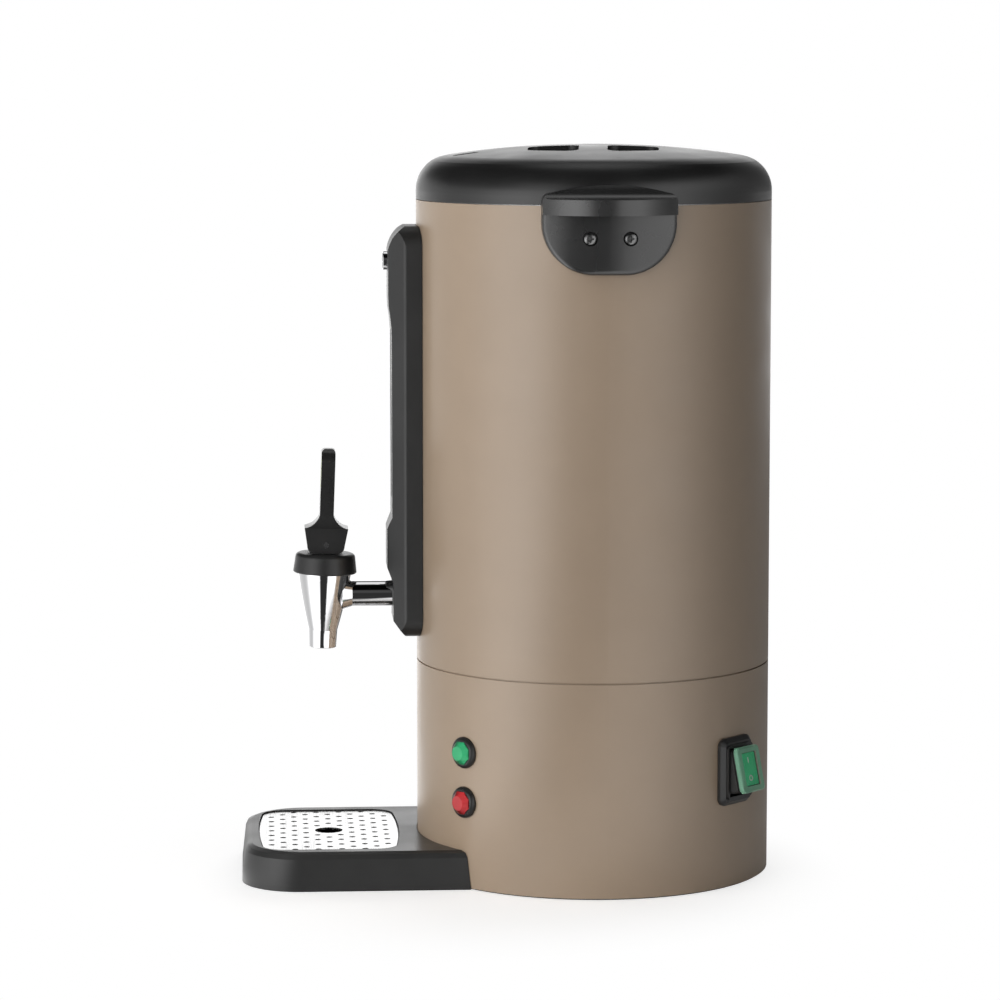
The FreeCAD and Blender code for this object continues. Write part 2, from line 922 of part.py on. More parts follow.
def wiring():
    """Leads between the inlet, the terminal block, the switch, the sensors and the heater."""
    way_z = plate_high + block_hole_height
    entry_y = block_y + block_depth / 2
    exit_y = block_y - block_depth / 2
    leads = []

    inlet_end = body_radius + inlet_flange_proud - inlet_cavity_depth - inlet_floor - inlet_tab_length
    switch_end = body_radius - switch_body_depth - switch_tab_length
    pin_z = inlet_height - inlet_pin_rise
    tab_z = switch_height - switch_tab_up
    tabs = [((inlet_end, inlet_pin_spacing / 2, pin_z), inlet_angle, 0, lead_reach),
            ((inlet_end, -inlet_pin_spacing / 2, pin_z), inlet_angle, 1, 2 * lead_reach),
            ((switch_end, switch_tab_across, tab_z), switch_angle, 2, 2 * lead_reach),
            ((switch_end, -switch_tab_across, tab_z), switch_angle, 3, lead_reach)]
    for (x, y, z), angle, way, reach in tabs:
        leads.append(lead([about((x, y, z), angle),
                           about((x - lead_reach, y, z), angle),
                           (block_way_x(way), entry_y + reach, way_z),
                           (block_way_x(way), entry_y - lead_grip, way_z)]))

    tab_x = sensor_circle - sensor_tab_spacing / 2
    leg_z = tank_underside - heater_plate_thickness - heater_tube_radius - slip_gap - heater_pin_drop
    ends = [((tab_x, 0, tank_underside - thermostat_height - sensor_tab_length), thermostat_angle, 0),
            ((tab_x, 0, tank_underside - cutout_height - sensor_tab_length), cutout_angle, 1),
            ((heater_ring_radius, 0, leg_z), -heater_opening / 2, 3),
            ((heater_ring_radius, 0, leg_z), heater_opening / 2, 4)]
    for point, angle, way in ends:
        x, y, z = about(point, angle)
        leads.append(lead([(block_way_x(way), exit_y + lead_grip, way_z),
                           (block_way_x(way), exit_y - lead_reach, way_z),
                           (x, y, z / 2),
                           (x, y, z)]))
    return leads


def lid_profile(offset):
    """Outline of the lid's dome, moved in by an offset, with its lower edge left open."""
    radius = body_radius - offset
    bend = lid_bend - offset
    edge = lid_bottom + lid_edge_height
    shoulder = lid_bottom + lid_shoulder - offset
    top = lid_bottom + lid_dome - offset

    def on_bend(angle):
        return (radius - bend * (1 - math.cos(math.radians(angle))),
                edge + bend * math.sin(math.radians(angle)))

    bend_end = on_bend(lid_bend_angle)
    shoulder_end = (radius - lid_shoulder_width, shoulder)
    middle_radius = (bend_end[0] + shoulder_end[0]) / 2 + lid_shoulder_lean
    middle_height = (bend_end[1] + shoulder_end[1]) / 2 + lid_shoulder_rise
    return [(radius, edge),
            (on_bend(lid_bend_angle / 2), bend_end),
            ((middle_radius, middle_height), shoulder_end),
            ((lid_crown_share * radius, shoulder + lid_crown_rise * (top - shoulder)), (0, top))]


def lid_pocket(angle, side, grow):
    """One finger pocket between the grip's bars, grown outward by a wall."""
    floor = lid_bottom + lid_dome - pocket_depth - grow
    sides = sorted((side * (pocket_bar / 2 - grow), side * (pocket_spread + grow)))
    block = box((pocket_hub / 2 - grow, body_radius), sides, (floor, floor + 2 * pocket_depth))
    block = block.common(rod(pocket_reach + grow, (0, 0, 0), (0, 0, 2 * shell_top)))
    block = block.makeFillet(pocket_corner + grow, upright_edges(block))
    return turned(block, angle + grip_angle)


def lid_pockets(grow):
    """Four finger pockets, which leave a cross-shaped grip."""
    return [lid_pocket(angle, side, grow) for angle in (0, 180) for side in (-1, 1)]


def vent_slot(grow):
    """Radial steam vent near the tap's side of the lid."""
    slot = rounded(vent_slot_width / 2 + grow, vent_slot_length / 2 + grow,
                   vent_slot_width / 2 + grow - slip_gap, rim_height, 2 * shell_top, (0, -vent_slot_reach))
    return turned(slot, vent_slot_angle)


def lid_screw_points():
    angles = [math.radians(lid_screw_angle + 360 * i / lid_screw_count) for i in range(lid_screw_count)]
    return [(lid_screw_circle * math.cos(a), lid_screw_circle * math.sin(a)) for a in angles]


def lid_shell():
    """Moulded dome with finger pockets round a cross-shaped grip, a steam vent and screw bosses."""
    dome = revolved([(0, lid_bottom), (body_radius, lid_bottom)] + lid_profile(0))
    room = revolved([(0, lid_bottom - 1), (body_radius - lid_wall, lid_bottom - 1)] + lid_profile(lid_wall))
    walls = lid_pockets(lid_wall) + [vent_slot(lid_wall)]
    for x, y in lid_screw_points():
        walls.append(rod(lid_boss_radius, (x, y, liner_high), (x, y, 2 * shell_top)))
    low_cut = rod(body_radius, (0, 0, 0), (0, 0, liner_high))
    walls = [wall.cut(low_cut) for wall in walls]
    pilot = [rod(m3_radius, (x, y, 0), (x, y, liner_high + lid_screw_length)) for x, y in lid_screw_points()]
    return dome.cut(room.cut(walls)).cut(lid_pockets(0) + pilot + [vent_slot(0)])


def lid_liner():
    """Steel disc that closes the lid from below."""
    disc = rod(body_radius - lid_wall - fit_gap, (0, 0, liner_low), (0, 0, liner_high))
    holes = [rod(m3_radius + slip_gap, (x, y, 0), (x, y, 2 * shell_top)) for x, y in lid_screw_points()]
    return disc.cut(holes + [vent_slot(0)])


def lid_seal():
    """Silicone ring between the tank's rim and the liner."""
    outer = rim_radius - seal_margin
    return ring(outer, outer - seal_width, rim_height, liner_low)


def lid_screws():
    return [pan_screw(m3_radius - slip_gap / 2, m3_head_radius, m3_head_height, lid_screw_length,
                      (x, y, liner_low), (0, 0, -1)) for x, y in lid_screw_points()]


def handle_plan(half, tip, bulge):
    """Plan of the grip ledge, with its front bulging from two straight sides."""
    side_x = tip - bulge + math.sqrt(bulge ** 2 - half ** 2)
    return [(0, -half), (side_x, -half), ((tip, 0), (side_x, half)), (0, half)]


def handle_face():
    """Front outline of the handle: round lower corners and a gently arched top."""
    half = handle_half_width
    corner = handle_corner
    inset = corner * (1 - math.sqrt(0.5))
    foot = handle_bottom + corner
    crown = handle_top_side - handle_shoulder_drop
    shoulder = handle_top_side + handle_shoulder_rise
    neck = half - handle_shoulder_width
    bend_y = half - (1 - math.sqrt(0.5)) * handle_shoulder_width
    bend_z = crown + math.sqrt(0.5) * (shoulder - crown)
    return [(-half, foot),
            ((-half + inset, handle_bottom + inset), (-half + corner, handle_bottom)),
            (half - corner, handle_bottom),
            ((half - inset, handle_bottom + inset), (half, foot)),
            (half, crown),
            ((bend_y, bend_z), (neck, shoulder)),
            ((0, handle_top), (-neck, shoulder)),
            ((-bend_y, bend_z), (-half, crown))]


def on_pad_edge(edge):
    """Whether an edge bounds the pad's face, below the ledge."""
    points = [edge.valueAt(edge.FirstParameter + share * (edge.LastParameter - edge.FirstParameter))
              for share in (0, 0.5, 1)]
    radius = body_radius + handle_pad
    on_face = all(abs(math.hypot(p.x, p.y) - radius) < 0.01 for p in points)
    return on_face and points[1].z < handle_lip_low - slip_gap


def handle_right():
    """Moulded pad with a half-moon grip ledge, dished above and hollow below."""
    back = body_radius + fit_gap
    tip = body_radius + handle_reach
    half = handle_half_width
    pad = body_radius + handle_pad
    low, high = handle_bottom, 2 * shell_top
    block = extruded(handle_plan(half, tip, handle_bulge), xy(low), (0, 0, high - low))
    block = block.common(extruded(handle_face(), yz(0), (2 * tip, 0, 0)))

    below = box((0, 2 * tip), (-2 * half, 2 * half), (0, handle_lip_low)).cut(cylinder_outside(pad))
    block = block.cut([below, cylinder_outside(back)])
    block = block.makeFillet(handle_pad_edge, [edge for edge in block.Edges if on_pad_edge(edge)])

    rim = back + handle_rim_back
    foot = rim + handle_rim_run
    lip_back = tip - handle_lip_wall
    middle = (rim + foot) / 2 - handle_rim_sag, (handle_top + handle_lip_high) / 2 - handle_rim_sag
    scoop = [(rim, handle_top + slip_gap),
             (middle, (foot, handle_lip_high)),
             (2 * tip, handle_lip_high),
             (2 * tip, high),
             (rim, high)]
    across = (0, 4 * half, 0)
    above = extruded(scoop, xz(-2 * half), across)
    bowl = [(foot, high),
            (foot, handle_lip_high),
            (foot + handle_dish_depth, handle_dish_low),
            (lip_back - handle_dish_depth, handle_dish_low),
            (lip_back, handle_lip_high),
            (lip_back, high)]
    inset = handle_plan(half - handle_rim_side, lip_back, handle_bulge - handle_lip_wall)
    dish = extruded(bowl, xz(-2 * half), across).common(extruded(inset, xy(low), (0, 0, high - low)))

    hollow = handle_plan(half - handle_lip_wall, lip_back, handle_bulge - handle_lip_wall)
    hollow = extruded(hollow, xy(low), (0, 0, handle_roof - low)).cut(cylinder_outside(pad))

    cuts = [above, dish, hollow]
    seat = handle_screw_seat()
    for y, z in handle_screw_points():
        cuts.append(rod(handle_counterbore, (seat, y, z), (2 * tip, y, z)))
        cuts.append(rod(m4_radius + slip_gap, (0, y, z), (2 * tip, y, z)))
    return block.cut(cuts)


def handle_screw_seat():
    """Distance from the body's axis to the seat under the handle screws' heads."""
    return body_radius + handle_pad - handle_head_depth


def handle_screws():
    length = handle_screw_seat() - inner_radius + m4_nut_height + thread_end
    screws = [pan_screw(m4_radius, m4_head_radius, m4_head_height, length, (handle_screw_seat(), y, z),
                        (1, 0, 0)) for y, z in handle_screw_points()]
    return screws + [turned(screw, 180) for screw in screws]


def handle_nuts():
    """Nuts behind the outer shell on the handle screws."""
    face = math.sqrt(inner_radius ** 2 - (handle_screw_spacing / 2 + m4_nut_flats / 2) ** 2) - slip_gap
    nuts = []
    for y, z in handle_screw_points():
        nut = hexagon(m4_nut_flats, (face - m4_nut_height, y, z), (face, y, z))
        nuts.append(nut.cut(rod(m4_radius + slip_gap / 2, (0, y, z), (body_radius, y, z))))
    return nuts + [turned(nut, 180) for nut in nuts]


def column_side(depth_offset):
    """Side outline of the column, as depth from the body's surface and height."""
    step = depth_offset
    top, bottom = column_top - step, column_bottom + step
    return [(-column_depth, bottom),
            (column_cap_depth - step / 2, bottom),
            (column_foot_depth - step, bottom + column_foot_slope),
            (column_foot_depth - step, bulge_bottom - bulge_slope),
            (column_bulge_depth - step, bulge_bottom),
            (column_bulge_depth - step, window_bottom - bulge_end_drop),
            (column_window_depth - step, window_bottom + window_start_rise),
            (column_window_depth - step, window_top - brow_low),
            ((column_window_depth - step + brow_sag, window_top - brow_bend_low),
             (column_depth - step - brow_sag, window_top + brow_bend_high)),
            (column_depth - step, window_top + brow_high),
            (column_depth - step, stud_height + stud_head_radius + column_cap_margin - step),
            ((column_depth - step - column_cap_bend_depth, top - column_cap_bend_drop),
             (column_cap_depth - step / 2, top)),
            (-column_depth, top)]


def column_block(offset):
    """Column's outer form, or the room inside it when moved in by its wall."""
    half = column_half_width - offset
    corner = column_corner - offset / 2
    inset = corner * (1 - math.sqrt(0.5))
    top, bottom = column_top - offset, column_bottom + offset
    side = extruded(column_side(offset), lambda depth, z: FreeCAD.Vector(-half, -body_radius - depth, z),
                    (2 * half, 0, 0))
    front = [(-half, bottom + corner),
             ((-half + inset, bottom + inset), (-half + corner, bottom)),
             (half - corner, bottom),
             ((half - inset, bottom + inset), (half, bottom + corner)),
             (half, top - corner),
             ((half - inset, top - inset), (half - corner, top)),
             (-half + corner, top),
             ((-half + inset, top - inset), (-half, top - corner))]
    face = extruded(front, xz(0), (0, -2 * body_radius, 0))
    side_y = -body_radius - column_side_depth + offset / 2
    front_y = -body_radius - column_bulge_depth + offset - slip_gap
    front_half = column_front_half_width - offset / 2
    plan = extruded([(-half, 0), (half, 0), (half, side_y), (front_half, front_y), (-front_half, front_y),
                     (-half, side_y)], xy(0), (0, 0, 2 * shell_top))
    ridges = [edge for edge in upright_edges(plan) if edge.BoundBox.YMax < -body_radius]
    plan = plan.makeFillet(column_ridge - offset / 2, ridges)
    return side.common(face).common(plan)


def column_cover():
    """Moulded cover of the sight glass, with a slot in front and holes for the shank and the stud."""
    cover = column_block(0).cut(column_block(column_wall))
    slot = box((-sight_slot_half_width, sight_slot_half_width),
               (-body_radius - 2 * column_depth, -body_radius - column_window_depth + 2 * column_wall),
               (window_bottom + sight_slot_margin_low, window_top - sight_slot_margin_high))
    cuts = [cylinder_outside(body_radius + fit_gap), slot,
            front_rod(shank_radius + fit_gap, shank_height, body_radius, body_radius + 2 * column_depth),
            front_rod(stud_radius + slip_gap, stud_height, body_radius, body_radius + 2 * column_depth)]
    return cover.cut(cuts)


def column_stud():
    """Domed screw through the cover, the top bracket and the outer shell."""
    seat = body_radius + column_depth
    length = seat - inner_radius + column_nut_height + thread_end
    stud = revolved([
        (0, -length),
        (stud_radius, -length),
        (stud_radius, 0),
        (stud_head_radius, 0),
        (stud_head_radius, stud_head_height - stud_dome),
        ((stud_round_reach * stud_head_radius, stud_head_height - stud_round_sag * stud_dome),
         (stud_flat, stud_head_height)),
        (0, stud_head_height)])
    stud.Placement = FreeCAD.Placement(FreeCAD.Vector(0, -seat, stud_height),
                                       FreeCAD.Rotation(FreeCAD.Vector(0, 0, 1), FreeCAD.Vector(0, -1, 0)))
    return stud


def column_nut():
    face = math.sqrt(inner_radius ** 2 - (column_nut_flats / 2) ** 2) - slip_gap
    nut = hexagon(column_nut_flats, (0, -face + column_nut_height, stud_height), (0, -face, stud_height))
    return nut.cut(front_rod(stud_radius + slip_gap / 2, stud_height, 0, body_radius))


def sight_block(low, high, half_width):
    """Block inside the column, from the body's surface to the cover's wall."""
    front = body_radius + column_foot_depth - column_wall - fit_gap
    block = box((-half_width, half_width), (-front, -body_radius / 2), (low, high))
    return block.cut(cylinder_outside(body_radius + fit_gap))


def glass_socket(low, high):
    return rod(glass_seal_radius + slip_gap, (0, glass_y, low), (0, glass_y, high))


def sight_fitting():
    """Lower block on the shank, which feeds the glass."""
    block = sight_block(fitting_low, fitting_high, fitting_half_width)
    front = body_radius + column_foot_depth - column_wall - fit_gap
    seat = fitting_high - glass_seal_height
    return block.cut([front_rod(shank_radius + slip_gap, shank_height, 0, front + 1),
                      glass_socket(seat, fitting_high + 1),
                      rod(glass_radius - glass_wall, (0, glass_y, shank_height), (0, glass_y, seat + 1))])


def sight_bracket():
    """Upper block that holds the glass and takes the stud."""
    block = sight_block(bracket_low, bracket_high, bracket_half_width)
    return block.cut([front_rod(stud_radius + slip_gap, stud_height, 0, 2 * body_radius),
                      glass_socket(bracket_low - 1, bracket_low + glass_seal_height + 1)])


def sight_glass():
    low = fitting_high - glass_seal_height
    tube = rod(glass_radius, (0, glass_y, low), (0, glass_y, bracket_low + glass_seal_height))
    return tube.cut(rod(glass_radius - glass_wall, (0, glass_y, 0), (0, glass_y, shell_top)))


def sight_seals():
    """Rubber bushes at the two ends of the glass."""
    seals = []
    for low in (fitting_high - glass_seal_height, bracket_low):
        seal = rod(glass_seal_radius, (0, glass_y, low), (0, glass_y, low + glass_seal_height))
        seals.append(seal.cut(rod(glass_radius + slip_gap / 2, (0, glass_y, 0), (0, glass_y, shell_top))))
    return seals


def tap_body():
    """Chrome tap: cone and nozzle with a chamber and a seat, and the shank into the tank."""
    middle_z = (cone_top + cone_neck) / 2
    middle_radius = (cone_top_radius + nozzle_radius) / 2 + cone_bulge
    cone = revolved([
        (0, nozzle_bottom),
        (nozzle_radius - nozzle_edge, nozzle_bottom),
        (nozzle_radius, nozzle_bottom + nozzle_edge),
        (nozzle_radius + nozzle_flare, cone_neck),
        ((middle_radius, middle_z), (cone_top_radius, cone_top)),
        (0, cone_top)])
    seat_top = chamber_floor + seat_height
    chamber = rod(chamber_radius, (0, 0, seat_top), (0, 0, cone_top + 1))
    seat = rod(seat_bore, (0, 0, nozzle_bottom - 1), (0, 0, chamber_floor + 1))
    nozzle = rod(nozzle_bore, (0, 0, nozzle_bottom - 1), (0, 0, chamber_floor - seat_floor_depth))
    chamber = chamber.fuse(Part.makeCone(seat_radius, chamber_radius, seat_height,
                                         FreeCAD.Vector(0, 0, chamber_floor)))
    outer = leaned(cone)
    shank = rod(shank_radius, (0, tap_y, shank_height), (0, shank_end_y, shank_height))
    collar = Part.makeCone(shank_collar_radius, shank_radius, shank_collar_length,
                           FreeCAD.Vector(0, tap_y + shank_collar_place, shank_height),
                           FreeCAD.Vector(0, 1, 0))
    bore = rod(shank_bore, (0, tap_y, shank_height), (0, shank_end_y + 1, shank_height))
    feed = rod(glass_radius - glass_wall, (0, glass_y, shank_height), (0, glass_y, fitting_high))
    return outer.fuse([shank, collar]).cut([leaned(chamber), leaned(seat), leaned(nozzle), bore, feed])


def tap_bonnet():
    """Black cap that screws into the tap and guides the stem."""
    edge = bonnet_edge
    bend = edge * (1 - math.sqrt(0.5))
    spigot = chamber_radius - slip_gap
    bonnet = revolved([
        (spigot - bonnet_spigot_wall, bonnet_spigot_low),
        (spigot, bonnet_spigot_low),
        (spigot, cone_top),
        (bonnet_radius - bonnet_foot_edge, cone_top),
        (bonnet_radius, cone_top + bonnet_foot_edge),
        (bonnet_top_radius, bonnet_top - edge),
        ((bonnet_top_radius - bend, bonnet_top - bend), (bonnet_top_radius - edge, bonnet_top)),
        (stem_radius + running_gap, bonnet_top),
        (stem_radius + running_gap, bonnet_roof),
        (spigot - bonnet_spigot_wall, bonnet_roof)])
    return leaned(bonnet)


def tap_stem():
    """Rod from the seat cup to the lever's pin, with a flat eye at its top."""
    low = chamber_floor + stem_foot_rise
    stem = rod(stem_radius, (0, 0, low), (0, 0, pin_height))
    head = rod(stem_radius + stem_foot_width, (0, 0, low), (0, 0, low + stem_foot_height))
    half = stem_radius
    eye = rod(stem_eye_radius, (-half, 0, pin_height), (half, 0, pin_height))
    hole = rod(pin_radius + running_gap, (-2 * half, 0, pin_height), (2 * half, 0, pin_height))
    return leaned(stem.fuse([head, eye]).cut(hole))


def seat_cup():
    """Silicone cup on the stem's foot that closes the seat."""
    low = chamber_floor
    high = low + cup_height
    head_low = low + stem_foot_rise
    cup = revolved([
        (0, low + slip_gap),
        (cup_radius - cup_tip_inset, low + slip_gap),
        (cup_radius, low + cup_tip_height),
        (cup_radius, high),
        (0, high)])
    play = slip_gap / 2
    room = rod(stem_radius + play, (0, 0, head_low), (0, 0, high + 1))
    head = rod(stem_radius + stem_foot_width + play, (0, 0, head_low - play),
               (0, 0, head_low + stem_foot_height + play))
    return leaned(cup.cut([room, head]))


def tap_spring():
    """Room of the coil spring between the seat cup and the bonnet's roof."""
    low = chamber_floor + cup_height + slip_gap
    spring = ring(spring_radius, spring_radius - spring_wall, low, bonnet_roof - slip_gap)
    return leaned(spring)


def lever_front_view(inset, low, high):
    """Front outline of the lever, as X and height above the pin."""
    base, neck, head = lever_base_half_width, lever_neck_half_width, lever_head_half_width
    base, neck, head = base - inset, neck - inset, head - inset
    rise = lever_head_share * head
    shoulder = lever_top - inset - rise
    round_x, round_z = lever_round_share * head, shoulder + lever_round_share * rise
    flare, flare_z = neck + lever_neck_flare, (lever_wing_height + lever_neck_height) / 2
    return [(-base, low),
            (base, low),
            (base, lever_wing_height),
            ((flare, flare_z), (neck, lever_neck_height)),
            (head, shoulder),
            ((round_x, round_z), (0, high)),
            ((-round_x, round_z), (-head, shoulder)),
            (-neck, lever_neck_height),
            ((-flare, flare_z), (-base, lever_wing_height))]


def tap_lever():
    """Lever with a rounded cam foot, two wings and a flat upright grip."""
    cam_z = -lever_base_drop + lever_cam_radius
    reach, cam = lever_cam_reach, lever_cam_radius
    bend = cam * math.sqrt(0.5)
    thick = lever_half_thickness
    edge = lever_tip_edge
    tip = lever_top - edge
    tip_bend = edge * (1 - math.sqrt(0.5))
    wing = lever_wing_reach
    wing_x, wing_z = wing - lever_wing_run, lever_wing_height + lever_wing_sag
    side = [(-reach, -lever_base_drop),
            (reach, -lever_base_drop),
            ((reach + bend, cam_z - bend), (reach + cam, cam_z)),
            (wing, lever_wing_height),
            ((wing_x, wing_z), (thick, lever_neck_height)),
            (thick, tip),
            ((thick - tip_bend, lever_top - tip_bend), (thick - edge, lever_top)),
            (-thick + edge, lever_top),
            ((-thick + tip_bend, lever_top - tip_bend), (-thick, tip)),
            (-thick, lever_neck_height),
            ((-wing_x, wing_z), (-wing, lever_wing_height)),
            (-reach - cam, cam_z),
            ((-reach - bend, cam_z - bend), (-reach, -lever_base_drop))]
    width = lever_head_half_width + 1
    body = extruded(side, yz(-width), (2 * width, 0, 0))
    front = lever_front_view(0, -2 * lever_base_drop, lever_top)
    body = body.common(extruded(front, xz(-2 * wing), (0, 4 * wing, 0)))
    slot = stem_radius + lever_slot_gap
    cuts = [box((-slot, slot), (-2 * wing, stem_eye_radius + lever_eye_room),
                (-2 * lever_base_drop, lever_slot_depth)),
            rod(pin_radius, (-width, 0, 0), (width, 0, 0)),
            extruded(inlay_outline(), xz(-2 * thick), (0, thick + inlay_thickness, 0))]
    return leaned(moved(body.cut(cuts), (0, 0, pin_height)))


def inlay_outline():
    """Front outline of the coloured inlay, as X and height above the pin."""
    half, corner = inlay_half_width, inlay_corner
    bend = corner * (1 - math.sqrt(0.5))
    low, high = inlay_low, inlay_high
    return [(-half, low + corner),
            ((-half + bend, low + bend), (-half + corner, low)),
            (half - corner, low),
            ((half - bend, low + bend), (half, low + corner)),
            (half, high - corner),
            ((half - bend, high - bend), (half - corner, high)),
            (-half + corner, high),
            ((-half + bend, high - bend), (-half, high - corner))]


def lever_inlay():
    front = -lever_half_thickness
    plate = extruded(inlay_outline(), xz(front), (0, inlay_thickness, 0))
    return leaned(moved(plate, (0, 0, pin_height)))


def lever_pin():
    half = lever_base_half_width + slip_gap
    return leaned(rod(pin_radius, (-half, 0, pin_height), (half, 0, pin_height)))


def shank_spacer():
    """Plastic sleeve on the shank that fills the space between tank and shell."""
    sleeve = front_rod(spacer_radius, shank_height, tank_radius / 2, body_radius)
    sleeve = sleeve.common(ring(inner_radius - slip_gap, tank_radius + slip_gap, 0, shell_top))
    return sleeve.cut(front_rod(shank_radius + slip_gap, shank_height, 0, body_radius + 1))


def shank_gasket():
    """Rubber ring on the shank against the tank's inner wall."""
    sleeve = front_rod(spacer_radius, shank_height, -nut_face_y, tank_radius)
    sleeve = sleeve.common(rod(tank_inside - slip_gap, (0, 0, 0), (0, 0, shell_top)))
    return sleeve.cut(front_rod(shank_radius + slip_gap, shank_height, 0, body_radius))


def shank_nut():
    nut = hexagon(shank_nut_flats, (0, nut_face_y + shank_nut_height, shank_height),
                  (0, nut_face_y, shank_height))
    return nut.cut(front_rod(shank_radius + slip_gap / 2, shank_height, 0, body_radius))


def lamp_heights():
    return (green_lamp_height, red_lamp_height)


def lamp_bezels():
    """Round bezels with barrels that pass through the base shell."""
    face = body_radius + lamp_bezel_height
    bore = lamp_hole - slip_gap - lamp_barrel_wall
    bezels = []
    for height in lamp_heights():
        disc = rod(lamp_bezel_radius, (body_radius / 2, 0, height), (face, 0, height))
        rim = [edge for edge in disc.Edges if edge.BoundBox.XMin > face - slip_gap]
        disc = disc.makeFillet(lamp_bezel_edge, rim).cut(cylinder_outside(body_radius + slip_gap))
        barrel = rod(lamp_hole - slip_gap, (face - lamp_barrel_length, 0, height),
                     (body_radius + slip_gap, 0, height))
        bezel = disc.fuse(barrel).cut(rod(bore, (0, 0, height), (2 * body_radius, 0, height)))
        bezels.append(turned(bezel, lamp_angle))
    return bezels


def lens(height):
    """Eight-sided chamfered lens with a round stem in the barrel."""
    face = body_radius + lamp_bezel_height
    bore = lamp_hole - slip_gap - lamp_barrel_wall
    block = hexagon(2 * lens_radius, (face, 0, height), (face + lens_height, 0, height), lens_sides)
    peak = Part.makeCone(lens_radius + lens_height, lens_radius - lens_chamfer, lens_height + lens_chamfer,
                         FreeCAD.Vector(face - lens_chamfer, 0, height), FreeCAD.Vector(1, 0, 0))
    stem = rod(bore - slip_gap, (face - lamp_barrel_length + lens_stem_margin, 0, height), (face, 0, height))
    return turned(block.common(peak).fuse(stem), lamp_angle)


def lamp_nuts():
    face = math.sqrt(inner_radius ** 2 - (lamp_nut_flats / 2) ** 2) - fit_gap
    nuts = []
    for height in lamp_heights():
        nut = hexagon(lamp_nut_flats, (face - lamp_nut_height, 0, height), (face, 0, height))
        nut = nut.cut(rod(lamp_hole - slip_gap / 2, (0, 0, height), (body_radius, 0, height)))
        nuts.append(turned(nut, lamp_angle))
    return nuts


def switch_housing():
    """Bezel and stepped frame in front of the shell, and the contact box behind it."""
    z = switch_height
    bezel = plate_x(bezel_width, bezel_height, bezel_corner, body_radius / 2, body_radius + bezel_proud, z)
    rim = [edge for edge in bezel.Edges if edge.BoundBox.XMin > body_radius + bezel_proud - slip_gap]
    bezel = bezel.makeChamfer(bezel_slope, rim)
    frame = plate_x(frame_width, frame_height, frame_corner, body_radius / 2, body_radius + frame_proud, z)
    front = bezel.fuse(frame).cut(cylinder_outside(body_radius + slip_gap))
    box_low = body_radius - switch_body_depth
    body = box((box_low, body_radius + bezel_proud), (-switch_body_width / 2, switch_body_width / 2),
               (z - switch_body_height / 2, z + switch_body_height / 2))
    half_y = switch_body_width / 2 - switch_wall
    half_z = switch_body_height / 2 - switch_wall
    room = box((body_radius - switch_room_depth, 2 * body_radius), (-half_y, half_y),
               (z - half_z, z + half_z))
    sockets = rod(trunnion_radius + running_gap, (pivot_x, -half_y - trunnion_length, z),
                  (pivot_x, half_y + trunnion_length, z))
    tabs = [box((box_low - switch_tab_length, box_low + 1), (y - tab_half_width, y + tab_half_width),
                (z + rise - tab_half_thickness, z + rise + tab_half_thickness))
            for y in (-switch_tab_across, switch_tab_across) for rise in (-switch_tab_up, switch_tab_up)]
    return turned(front.fuse(body).cut([room, sockets]).fuse(tabs), switch_angle)


def rocked(shape):
    """Rocker piece drawn square, tilted so that its top is pressed in."""
    copy = shape.copy()
    copy.rotate(FreeCAD.Vector(pivot_x, 0, switch_height), FreeCAD.Vector(0, 1, 0), -rocker_tilt)
    return turned(copy, switch_angle)


def switch_boot():
    """Black stepped boot that tilts in the frame on two trunnions."""
    z = switch_height
    lower = plate_x(boot_width, boot_height, boot_corner, pivot_x + boot_inner,
                    pivot_x + boot_outer - boot_step, z)
    upper = plate_x(boot_width - 2 * boot_taper, boot_height - 2 * boot_taper, boot_corner,
                    pivot_x + boot_inner, pivot_x + boot_outer, z)
    reach = switch_body_width / 2 - switch_wall + trunnion_length - slip_gap
    pins = rod(trunnion_radius, (pivot_x, -reach, z), (pivot_x, reach, z))
    return rocked(lower.fuse([upper, pins]))


def switch_cap():
    """Clear splash cap over the rocker."""
    face = pivot_x + cap_outer
    shape = plate_x(cap_width, cap_height, cap_corner, pivot_x + boot_outer, face, switch_height)
    rim = [edge for edge in shape.Edges if edge.BoundBox.XMin > face - slip_gap]
    shape = shape.makeFillet(cap_edge, rim)
    room = plate_x(rocker_width + 2 * slip_gap, rocker_height + 2 * slip_gap, rocker_corner + slip_gap,
                   pivot_x + boot_outer - 1, face - cap_wall, switch_height)
    return rocked(shape.cut(room))


def switch_rocker():
    """Green key under the clear cap."""
    return rocked(plate_x(rocker_width, rocker_height, rocker_corner, pivot_x + boot_outer,
                          pivot_x + cap_outer - cap_wall - slip_gap, switch_height))


def inlet_socket():
    """Flanged appliance inlet with a deep socket, square to the base's wall."""
    z = inlet_height
    flange = plate_x(inlet_flange_width, inlet_flange_height, inlet_flange_corner, body_radius / 2,
                     body_radius + inlet_flange_proud, z)
    flange = flange.cut(cylinder_outside(body_radius + slip_gap))
    depth = inlet_cavity_depth + inlet_floor
    back = body_radius + inlet_flange_proud - depth
    body = plate_x(inlet_body_width, inlet_body_height, inlet_body_corner, back,
                   body_radius + inlet_flange_proud, z)
    room = plate_x(inlet_cavity_width, inlet_cavity_height, inlet_cavity_corner, back + inlet_floor,
                   2 * body_radius, z)
    cuts = [room]
    for y, rise in inlet_pin_places():
        cuts.append(inlet_pin(y, rise, slip_gap / 2))
    for side in (-1, 1):
        y = side * inlet_screw_spacing / 2
        cuts.append(rod(m3_radius + slip_gap, (0, y, z), (2 * body_radius, y, z)))
    return turned(flange.fuse(body).cut(cuts), inlet_angle)


def inlet_pin_places():
    """Places of the three contact pins, as Y and height above the inlet's centre."""
    half = inlet_pin_spacing / 2
    return [(-half, -inlet_pin_rise), (half, -inlet_pin_rise), (0, inlet_pin_rise)]


